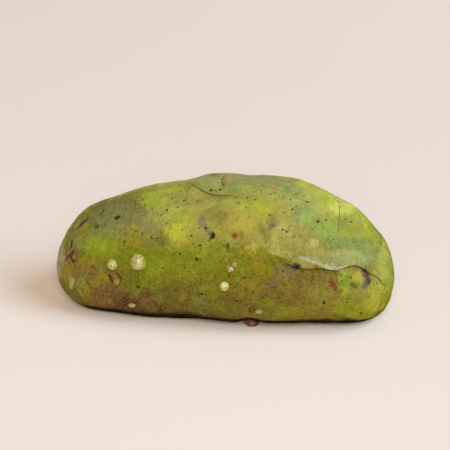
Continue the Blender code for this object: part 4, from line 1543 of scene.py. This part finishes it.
@dataclass(frozen=True)
class SkinFinish:
    """Dull seed skin: its colours from the mesh, with fine mottling, specks, creases and pores.

    Its soft gleam in the picture is part of the colours, so the shader adds no shine of its own.
    """

    roughness: float = 0.50
    shine: float = 0.0
    refraction: float = 1.42
    subsurface: float = 0.10
    subsurface_reach: float = 0.5
    subsurface_by_colour: Triple = (1.0, 0.9, 0.3)
    bump_height: float = 0.020

    # Waves in a millimetre, detail and roughness of each noise
    coarse: Triple = (2.6, 5.0, 0.68)
    fine: Triple = (6.5, 4.0, 0.70)
    grain: Triple = (11.0, 2.0, 0.6)
    blending: Triple = (4.5, 5.0, 0.72)

    even_grain: Triple = (0.165, 0.165, 0.045)  # the grain that is as strong on dark skin as on pale skin
    least_tint: Triple = (0.003, 0.003, 0.003)

    # Hue, its gain, where its noise starts, waves in a millimetre, the noise's span, and the most of it
    drifts: tuple[tuple[Hue, float, Triple, float, Place, float], ...] = (
        (Hue.OLD_GOLD, 0.9, (0.0, 0.0, 0.0), 3.6, (0.0, 0.45), 0.14),
        (Hue.DEEP_LEAF, 0.8, (5.0, 3.0, 1.0), 4.0, (0.05, 0.5), 0.12),
    )

    # Cells in a millimetre, the largest radius, the share of cells with a dot, how dark, the hue's gain
    pricks: tuple[float, ...] = (8.0, 0.038, 0.55, 0.55, 0.55)
    dots: tuple[float, ...] = (5.0, 0.060, 0.40, 0.8, 0.35)
    dot_edge: tuple[float, float] = (0.012, -0.012)
    dot_bend: float = 0.10

    crease_edge: tuple[float, float] = (0.026, -0.022)
    crease_shade: Shade = (60, 44, 18)
    crevice_shade: Shade = (52, 44, 18)

    def mottled(self, finish: Finish, place: Wire, noises: tuple[Wire, Wire, Wire]) -> Wire:
        """The mesh's colours with a mottle.

        Args:
            finish: The material.
            place: The place in millimetres.
            noises: The coarse and the fine noise and the grain.

        Returns:
            The tight and the spread stains blended by a noise, times a mottle, plus an even grain.
        """
        coarse, fine, grain = noises
        blend = finish.noise(finish.moved(place, (2.0, 7.0, 4.0)), *self.blending)
        stains = finish.attribute("tint", "Color"), finish.attribute("tint_spread", "Color")
        tint = finish.mix(finish.ramp(blend, -0.10, 0.10), *stains)
        stipple = finish.ramp(0.6 * fine + 0.7 * grain, 0.02, 0.24)
        tint = finish.scaled(tint, 1.03 + 0.34 * coarse + 0.16 * fine - 0.10 * stipple)
        even = 0.62 * fine + 0.85 * grain - 0.25 * stipple
        tint = finish.moved(tint, finish.scaled(self.even_grain, even))
        return finish.vectors("MAXIMUM", {0: tint, 1: self.least_tint})

    def drifted(self, finish: Finish, place: Wire, tint: Wire) -> Wire:
        """Lays a warm and then a cool drift over a colour, each where its own noise is high."""
        for hue, gain, start, per_mm, span, most in self.drifts:
            share = finish.ramp(finish.noise(finish.moved(place, start), per_mm, 5.0, 0.66), *span) * most
            tint = finish.mix(share, tint, finish.mix(0.5, tint, linear_colour(hue, gain)))
        return tint

    def scattered(self, finish: Finish, place: Wire, per_mm: float, radius: float, share: float) -> Wire:
        """Dark dots: one in some of the cells of a Voronoi pattern, each with a radius of its own.

        Args:
            finish: The material.
            place: The place in millimetres.
            per_mm: Cells in a millimetre.
            radius: The largest dot's radius.
            share: The share of the cells that have a dot.

        Returns:
            1 inside a dot and 0 outside.
        """
        cells = finish.node("ShaderNodeTexVoronoi", {}, {"Vector": place, "Scale": per_mm})
        apart = finish.wire(cells, "Distance") / per_mm
        draw = finish.wire(finish.node("ShaderNodeSeparateColor", {}, {"Color": finish.wire(cells, "Color")}))
        size = (draw - (1 - share)).at_least(0.0) * (radius / share)
        return finish.ramp(apart - size, *self.dot_edge)

    def dotted(self, finish: Finish, place: Wire, tint: Wire) -> tuple[Wire, Wire]:
        """Lays pricks and larger dots over a colour, in clusters.

        Args:
            finish: The material.
            place: The place in millimetres.
            tint: The colour.

        Returns:
            The colour with them, and where the larger dots are.
        """
        drift = finish.node("ShaderNodeTexNoise", {}, {"Vector": place, "Scale": 7.0, "Detail": 2.0})
        bend = finish.moved(finish.wire(drift, "Color"), (-0.5, -0.5, -0.5))
        bent = finish.moved(place, finish.scaled(bend, self.dot_bend))
        clusters = finish.ramp(finish.noise(place, 0.9, 2.0), -0.25, 0.35)
        for per_mm, radius, share, dark, gain in (self.pricks, self.dots):
            marks = self.scattered(finish, bent, per_mm, radius, share) * clusters
            tint = finish.mix(marks * dark, tint, linear_colour(Hue.MOSS, gain))
        return tint, marks

    def marked(
        self, finish: Finish, tint: Wire, noises: tuple[Wire, Wire, Wire]
    ) -> tuple[Wire, Wire, Wire]:
        """Lays the specks, the creases' dark lines and the crevice's painted shade over a colour, as the mesh
        keeps them.

        Args:
            finish: The material.
            tint: The colour.
            noises: The coarse and the fine noise and the grain, which roughen the marks' edges.

        Returns:
            The colour with them, and where the specks and the creases are.
        """
        coarse, fine, grain = noises
        way = finish.length(finish.attribute("speck_way", "Vector"))
        near = finish.ramp(finish.attribute("speck_edge"), 0.09, 0.05)
        inside = finish.ramp(way + 0.9 * fine + 0.5 * grain, 1.45, 0.60)
        spots = inside * near * finish.attribute("speck_dark")
        tint = finish.mix(spots, tint, linear_colour(Hue.INK))
        apart = abs(finish.attribute("crease_offset") + 0.030 * fine + 0.018 * coarse)
        inside = finish.ramp(apart - finish.attribute("crease_width"), *self.crease_edge)
        # The creases' dark lines: painted shade in them, with their own darker skin
        lines = inside * finish.attribute("crease_mark_and_shade")
        tint = finish.mix(lines, tint, linear_colour(self.crease_shade))
        # Painted shade in the crevice under the fold
        tint = finish.mix(finish.attribute("painted_shade_in_crevice"), tint, linear_colour(self.crevice_shade))
        return tint, spots, lines

    def build(self) -> bpy.types.Material:
        """Makes the material."""
        finish = Finish("seed_skin")
        place = finish.place()
        noises = tuple(finish.noise(place, *kind) for kind in (self.coarse, self.fine, self.grain))
        tint = self.drifted(finish, place, self.mottled(finish, place, noises))
        tint, dots = self.dotted(finish, place, tint)
        tint, spots, lines = self.marked(finish, tint, noises)
        _, fine, grain = noises
        finish.set("Base Color", tint)
        finish.set("Roughness", self.roughness + 0.08 * fine + 0.10 * lines)
        finish.bump(0.5 * fine + 0.25 * grain - 0.6 * spots - 0.8 * lines - 0.4 * dots, self.bump_height)
        finish.set("Subsurface Weight", self.subsurface)
        finish.set("Subsurface Radius", self.subsurface_by_colour)
        finish.set("Subsurface Scale", self.subsurface_reach * MM)
        finish.set("IOR", self.refraction)
        finish.set("Specular IOR Level", self.shine)
        return finish.material


@dataclass(frozen=True)
class SapFinish:
    """Dried sap: cloudy, pale yellow and half clear, with flaws inside, and a painted glow round its rim
    where it is seen edge on.
    """

    roughness: float = 0.16
    cloudiness: float = 0.30
    refraction: float = 1.47
    glow_reach: float = 0.15
    glow_by_colour: Triple = (1.0, 0.95, 0.6)
    clear: Shade = (134, 130, 66)
    cloudy: Shade = (168, 162, 98)
    cracked: Shade = (222, 212, 172)
    painted_rim_glow: Shade = (214, 206, 158)
    deep: Shade = (112, 106, 46)

    def build(self) -> bpy.types.Material:
        """Makes the material."""
        finish = Finish("dried_sap")
        place = finish.place()
        settings = {"feature": "DISTANCE_TO_EDGE"}
        cells = finish.node("ShaderNodeTexVoronoi", settings, {"Vector": place, "Scale": 2.6})
        cracks = finish.ramp(finish.wire(cells, "Distance"), 0.07, 0.0)
        cloud = finish.ramp(finish.noise(place, 2.4, 3.0, 0.6), -0.30, 0.35)
        rim = finish.wire(finish.node("ShaderNodeLayerWeight", {}, {"Blend": 0.35}), "Facing")
        tint = finish.mix(cloud, linear_colour(self.clear), linear_colour(self.cloudy))
        tint = finish.mix(cracks * 0.45, tint, linear_colour(self.cracked))
        # Painted glow at the rim, where the bead is seen edge on
        tint = finish.mix(finish.ramp(rim, 0.30, 0.75) * 0.6, tint, linear_colour(self.painted_rim_glow))
        finish.set("Base Color", finish.mix(finish.attribute("paleness"), linear_colour(self.deep), tint))
        finish.set("Roughness", self.roughness + 0.10 * cracks)
        finish.bump(cloud + 0.6 * cracks, 0.012, 0.6)
        finish.set("Subsurface Weight", self.cloudiness)
        finish.set("Subsurface Radius", self.glow_by_colour)
        finish.set("Subsurface Scale", self.glow_reach * MM)
        finish.set("IOR", self.refraction)
        return finish.material


@dataclass(frozen=True)
class ScarFinish:
    """The torn stalk scar: brown and pink fibres, with dark red where it was torn last."""

    roughness: float = 0.62
    bump_height: float = 0.04
    dark_fibres: Shade = (44, 28, 12)
    pale_fibres: Shade = (132, 94, 62)
    torn_shade: Shade = (84, 12, 16)

    def build(self) -> bpy.types.Material:
        """Makes the material."""
        finish = Finish("stalk_scar")
        place = finish.place()
        fibres = finish.noise(place, 5.0, 4.0, 0.65)
        shades = linear_colour(self.dark_fibres), linear_colour(self.pale_fibres)
        tint = finish.mix(finish.ramp(fibres, -0.3, 0.4), *shades)
        torn = finish.attribute("torn")
        finish.set("Base Color", finish.mix(torn, tint, linear_colour(self.torn_shade)))
        finish.set("Roughness", self.roughness - 0.2 * torn)
        finish.bump(fibres, self.bump_height)
        return finish.material


@dataclass(frozen=True)
class TableFinish:
    """A smooth, matt, pale beige table top, painted lighter towards its back."""

    seen: Shade = (242, 231, 226)
    painted_light_at_back: float = 0.20  # how much lighter the table is painted towards its back: painted light
    painted_light_depth: float = 150.0
    cloudiness: float = 0.015
    roughness: float = 0.75
    shine: float = 0.25

    def build(self) -> bpy.types.Material:
        """Makes the material."""
        finish = Finish("table_top")
        place = finish.place()
        cloud = finish.noise(place, 0.02, 2.0, 0.5)
        split = finish.node("ShaderNodeSeparateXYZ", {}, {"Vector": place})
        # Painted light: the table is painted lighter towards its back
        far = finish.ramp(finish.wire(split, "Y"), 0.0, self.painted_light_depth)
        tint = finish.scaled(linear_colour(self.seen)[:3], 1 + self.cloudiness * cloud + self.painted_light_at_back * far)
        finish.set("Base Color", tint)
        finish.set("Roughness", self.roughness)
        finish.set("Specular IOR Level", self.shine)
        return finish.material


@dataclass(frozen=True)
class Kernel:
    """The kernel: its skin's form, the marks on it, and its finish."""

    form: KernelForm = KernelForm()
    grid: SkinGrid = SkinGrid()
    paint: KernelPaint = KernelPaint()
    finish: SkinFinish = SkinFinish()
    noise: SmoothNoise = field(default_factory=lambda: SmoothNoise(5))
    furrow_spacing: float = 0.22
    furrow_depth: float = 0.035
    # Painted shade in the furrows: how much their depth darkens the colour
    furrow_painted_shade: float = 0.28
    pebble_height: float = 0.020
    ripple_height: float = 0.028
    # Painted shade in the crevice under the fold: its strength, and where and how wide it lies
    crevice_painted_shade: float = 0.9
    crevice_painted_shade_above: float = 0.03  # the painted shade lies this much nearer to the lip than the crevice's middle
    crevice_painted_shade_reach: float = 0.035

    def large_forms(self) -> tuple[SkinMesh, Array, Array]:
        """The skin before its fine relief, with the sweep and angle of each of its points."""
        sweep, angle = self.grid.places(self.form)
        points = self.form.skin_points(sweep, angle)
        points = self.lip_hung_over(points, sweep, angle)
        normals = ring_normals(points, self.grid.rings, self.grid.columns)
        return SkinMesh(points, normals, self.grid.rings, self.grid.columns), sweep, angle

    def lip_hung_over(self, points: Array, sweep: Array, angle: Array) -> Array:
        """Moves the fold's lip down over the crevice, round the kernel, so that it hangs over."""
        form = self.form
        radius = form.section_radius(sweep, angle)
        x = points[:, 0]
        across = form.across_fold(x, angle, radius)
        shift = form.lip_overhang * form.along_fold(x) * ramp(across, -0.02, 0.05) * ramp(across, 0.60, 0.15)
        down = np.stack([np.zeros_like(angle), -np.sin(angle), -np.cos(angle)], axis=-1)
        return points + down * shift[:, None]

    def furrows(self, points: Array, sweep: Array, angle: Array) -> Array:
        """Upright furrows under the fold, from 0 to 1: noise that is drawn out round the kernel.

        Args:
            points: The skin's points.
            sweep: Their places from tip to tip, in radians.
            angle: Their angles round the kernel, in radians.

        Returns:
            The furrows' depth at each point, which fades out at both their ends and under the fold's foot.
        """
        form = self.form
        x = points[:, 0]
        across = form.across_fold(x, angle, form.section_radius(sweep, angle))
        drawn_out = points * np.array([1.0, 0.16, 0.16]) + 2.0
        wave = ramp(self.noise.layered(drawn_out, self.furrow_spacing, 3, 0.7), -0.1, 0.55)
        where = ramp(x, 4.1, 4.9) * ramp(x, 6.5, 6.0) * ramp(across, -0.08, -0.25) * ramp(across, -2.4, -0.9)
        return where * wave

    def fine_relief(self, skin: SkinMesh, furrows: Array, press: Array) -> Array:
        """The height of the fine relief: ripples, pebbling, furrows, and creases pressed in."""
        pebbles = self.pebble_height * self.noise.layered(skin.points, 0.55, 4, 0.6)
        ripples = self.ripple_height * self.noise.layered(skin.points * np.array([1.0, 0.7, 0.7]), 1.6, 2)
        return pebbles + ripples - self.furrow_depth * furrows - press

    def build(self) -> bpy.types.Object:
        """Makes the kernel's skin and dresses it."""
        skin, sweep, angle = self.large_forms()
        marks = SkinMarks(replace(skin, points=self.form.settle(skin.points)))
        offset, half_width, dark, press = marks.creases()
        speck_edge, speck_way, speck_dark = marks.specks()
        furrows = self.furrows(skin.points, sweep, angle)
        height = self.fine_relief(skin, furrows, press)
        points = self.form.settle(skin.points + skin.normals * height[:, None])
        quads, triangles = ring_faces(self.grid.rings, self.grid.columns)
        kernel = new_piece("kernel_skin", points, quads, triangles)
        for name, colours in zip(("tint", "tint_spread"), self.paint.colours(skin, marks)):
            # The colours darkened in the furrows: painted shade
            set_colours(kernel, name, colours * (1 - self.furrow_painted_shade * furrows)[:, None])
        set_vectors(kernel, "speck_way", speck_way)
        set_numbers(kernel, "speck_edge", speck_edge)
        set_numbers(kernel, "speck_dark", speck_dark)
        set_numbers(kernel, "crease_offset", offset)
        set_numbers(kernel, "crease_width", half_width)
        set_numbers(kernel, "crease_mark_and_shade", dark)
        set_numbers(kernel, "painted_shade_in_crevice", self.painted_shade_in_crevice(skin.points, sweep, angle))
        kernel.data.materials.append(self.finish.build())
        return kernel

    def painted_shade_in_crevice(self, points: Array, sweep: Array, angle: Array) -> Array:
        """How much painted shade lies in the crevice under the fold, from 0 to 1."""
        form = self.form
        x = points[:, 0]
        across = form.across_fold(x, angle, form.section_radius(sweep, angle))
        dark = self.crevice_painted_shade * form.along_fold(x) * form.shade_along(x)
        return dark * bell(across, form.crevice_centre + self.crevice_painted_shade_above, self.crevice_painted_shade_reach)


@dataclass(frozen=True)
class SapBeads:
    """Beads of dried sap on the skin, at the places that the CAD model has them."""

    # Place along, angle, radius, share of the radius that stands out, length to width, paleness
    beads: tuple[tuple[float, ...], ...] = (
        (-3.77, 9.5, 0.44, 1.18, 1.0, 0.85),
        (-5.19, 8.0, 0.29, 1.20, 1.0, 1.0),
        (0.70, -9.5, 0.26, 1.15, 1.0, 1.0),
        (1.00, 4.0, 0.18, 1.10, 1.0, 0.8),
        (1.19, 7.5, 0.15, 1.00, 1.0, 0.35),
        (0.75, 10.5, 0.13, 0.80, 1.0, 0.10),
        (-4.21, -29.5, 0.14, 0.60, 1.5, 0.45),
        (2.39, -29.7, 0.13, 0.60, 1.5, 0.35),
        (-1.60, 168.0, 0.33, 1.20, 1.0, 0.9),
        (-2.35, 162.0, 0.20, 1.10, 1.0, 0.6),
        (3.40, 186.0, 0.24, 1.10, 1.0, 0.8),
    )
    rings: int = 26
    columns: int = 40
    facet: float = 0.03
    cuts: int = 17
    cut_depth: float = 0.925
    finish: SapFinish = SapFinish()
    noise: SmoothNoise = field(default_factory=lambda: SmoothNoise(17))

    def ball(self) -> Array:
        """Points of a unit sphere in rings round its Z axis, the two poles last."""
        sweep, turn = np.meshgrid(
            np.linspace(0, np.pi, self.rings + 2)[1:-1],
            np.linspace(0, 2 * np.pi, self.columns, endpoint=False),
            indexing="ij",
        )
        across = np.sin(sweep)
        sphere = np.stack([across * np.cos(turn), across * np.sin(turn), -np.cos(sweep)], axis=-1)
        return np.concatenate([sphere.reshape(-1, 3), [(0.0, 0.0, -1.0), (0.0, 0.0, 1.0)]])

    def facets(self, ball: Array, number: int) -> Array:
        """How far a bead reaches each way: a unit sphere cut off by planes that are spread evenly round it.

        Args:
            ball: Unit vectors, one way in each row.
            number: The bead's number, which turns its planes.

        Returns:
            The reach, 1 where no plane cuts.
        """
        step = np.arange(self.cuts) + 0.5
        up = 1 - 2 * step / self.cuts
        across = np.sqrt(1 - up**2)
        turn = np.pi * (1 + np.sqrt(5)) * step + number
        planes = np.stack([across * np.cos(turn), across * np.sin(turn), up], axis=1)
        return np.minimum(1.0, self.cut_depth / (ball @ planes.T).max(axis=1))

    def build(self, form: KernelForm) -> bpy.types.Object:
        """Makes all the beads as one piece.

        Args:
            form: The kernel's form, which gives each bead's place and the way out of the skin there.

        Returns:
            The piece.
        """
        ball = self.ball()
        ring_quads, tip_triangles = ring_faces(self.rings, self.columns)
        blobs, quads, triangles = [], [], []
        for number, (x, degrees, radius, out_share, stretch, _) in enumerate(self.beads):
            here, axes = skin_axes(form, x, degrees)
            rough = self.facets(ball, number) + self.facet * self.noise.layered(ball + 4.0 * number, 0.8, 2)
            size = radius * np.array([stretch, 1 / np.sqrt(stretch), 1.0])
            blobs.append((ball * rough[:, None] * size) @ axes + here + axes[2] * radius * (out_share - 1))
            quads.append(ring_quads + number * len(ball))
            triangles.append(tip_triangles + number * len(ball))
        points, quads, triangles = (np.concatenate(parts) for parts in (blobs, quads, triangles))
        piece = new_piece("sap_beads", points, quads, triangles)
        set_numbers(piece, "paleness", np.repeat([bead[-1] for bead in self.beads], len(ball)))
        piece.data.materials.append(self.finish.build())
        return piece


def skin_axes(form: KernelForm, x: float, degrees: float) -> tuple[Array, Array]:
    """A point of the kernel's skin with its large forms, and the skin's own axes there.

    Args:
        form: The kernel's form.
        x: The place along.
        degrees: The angle round.

    Returns:
        The point, and three unit vectors in rows: along the kernel, round it, and out of the skin.
    """
    sweep, angle, step = form.sweep_of(x), np.radians(degrees), 0.02
    sweeps = np.array([sweep, sweep - step, sweep + step, sweep, sweep])
    angles = np.array([angle, angle, angle, angle - step, angle + step])
    here, before, after, under, over = form.settle(form.skin_points(sweeps, angles))
    out = np.cross(after - before, under - over)
    out /= np.linalg.norm(out)
    along = (after - before) / np.linalg.norm(after - before)
    return here, np.stack([along, np.cross(out, along), out])


@dataclass(frozen=True)
class StalkScar:
    """The scar of the stalk, between the belly and the table."""

    centre: Triple = (1.85, -2.12, 0.27)
    half_sizes: Triple = (0.40, 0.38, 0.26)
    lowest: float = 0.01
    rings: int = 60
    columns: int = 90
    tatter: float = 0.10
    finish: ScarFinish = ScarFinish()
    noise: SmoothNoise = field(default_factory=lambda: SmoothNoise(23))

    def build(self) -> bpy.types.Object:
        """Makes the scar: an ellipsoid with a tattered skin, kept above the table."""
        ball = SapBeads(rings=self.rings, columns=self.columns).ball()
        rough = 1 - self.tatter * np.abs(self.noise.layered(ball, 0.45, 4, 0.6))
        points = ball * rough[:, None] * np.array(self.half_sizes) + np.array(self.centre)
        points[:, 2] = np.maximum(points[:, 2], self.lowest)
        quads, triangles = ring_faces(self.rings, self.columns)
        piece = new_piece("stalk_scar", points, quads, triangles)
        torn = ramp(ball[:, 0] + 0.5 * self.noise.layered(ball, 0.6, 3), 0.15, 0.6)
        set_numbers(piece, "torn", torn * ramp(ball[:, 1], 0.1, -0.5))
        piece.data.materials.append(self.finish.build())
        return piece


@dataclass(frozen=True)
class Lamp:
    """A square soft light."""

    name: str
    at: Triple
    side: float
    watts: float
    colour: Triple
    towards: Triple = (0.0, 0.0, 0.0)

    def build(self) -> bpy.types.Object:
        """Hangs the lamp and turns it."""
        light = bpy.data.lights.new(self.name, "AREA")
        light.shape = "SQUARE"
        light.size = self.side * MM
        light.energy = self.watts
        light.color = self.colour
        lamp = bpy.data.objects.new(self.name, light)
        place = Vector(self.at) * MM
        way = Vector(self.towards) * MM - place
        lamp.matrix_world = Matrix.Translation(place) @ way.to_track_quat("-Z", "Y").to_matrix().to_4x4()
        bpy.context.scene.collection.objects.link(lamp)
        return lamp


@dataclass(frozen=True)
class Studio:
    """The table top, the lights and the camera."""

    view: Viewpoint = Viewpoint()
    table: TableFinish = TableFinish()
    table_reach: float = 600.0
    key: Lamp = Lamp("key_light", KEY_PLACE, 480.0, 4.10, (0.80, 1.0, 1.17))
    front: Lamp = Lamp("front_light", FRONT_PLACE, 340.0, 4.75, (1.14, 1.0, 0.81))
    sky: Triple = (1.30, 1.0, 0.70)
    sky_strength: float = 0.16

    def lay_table(self) -> bpy.types.Object:
        """A flat square under the kernel, as a stage and not a part of the object."""
        r = self.table_reach
        corners = np.array([(-r, -r, 0.0), (r, -r, 0.0), (r, r, 0.0), (-r, r, 0.0)])
        table = new_piece("table_top", corners, np.array([[0, 1, 2, 3]]), np.empty((0, 3), int))
        table.data.materials.append(self.table.build())
        return table

    def light(self) -> None:
        """Hangs the two lamps and fills the room with even light."""
        self.key.build()
        self.front.build()
        world = bpy.data.worlds.new("soft_room")
        world.use_nodes = True
        background = world.node_tree.nodes["Background"]
        background.inputs["Color"].default_value = (*self.sky, 1.0)
        background.inputs["Strength"].default_value = self.sky_strength
        bpy.context.scene.world = world

    def place_camera(self) -> bpy.types.Object:
        """Puts the camera where the photograph was taken from."""
        data = bpy.data.cameras.new("camera")
        data.lens, data.sensor_width = self.view.lens, self.view.sensor
        data.clip_start, data.clip_end = 1 * MM, 5000 * MM
        camera = bpy.data.objects.new("camera", data)
        right, up, back = (Vector(a) for a in self.view.axes())
        turn = Matrix((right, up, back)).transposed().to_4x4()
        camera.matrix_world = Matrix.Translation(Vector(self.view.eye()) * MM) @ turn
        bpy.context.scene.collection.objects.link(camera)
        bpy.context.scene.camera = camera
        return camera

    def build(self) -> None:
        """Sets the whole studio up, with plain display colours."""
        self.lay_table()
        self.light()
        self.place_camera()
        bpy.context.scene.view_settings.view_transform = "Standard"


def report(piece: bpy.types.Object) -> None:
    """Logs a piece's name, size and number of triangles."""
    triangles = sum(len(p.vertices) - 2 for p in piece.data.polygons)
    size = " x ".join(f"{side / MM:.2f}" for side in piece.dimensions)
    LOG.info("%s: %s mm, %d triangles", piece.name, size, triangles)


def main() -> None:
    """Loads the CAD frame, builds the pieces in order and ties them to it."""
    logging.basicConfig(level=logging.INFO, format="%(name)s: %(message)s")
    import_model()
    form = KernelForm()
    pieces = (Kernel(form).build(), SapBeads().build(form), StalkScar().build())
    for piece in pieces:
        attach(piece, BODY)
        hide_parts(CAD_NODE)
        report(piece)
    Studio().build()


if __name__ == "__main__":
    main()
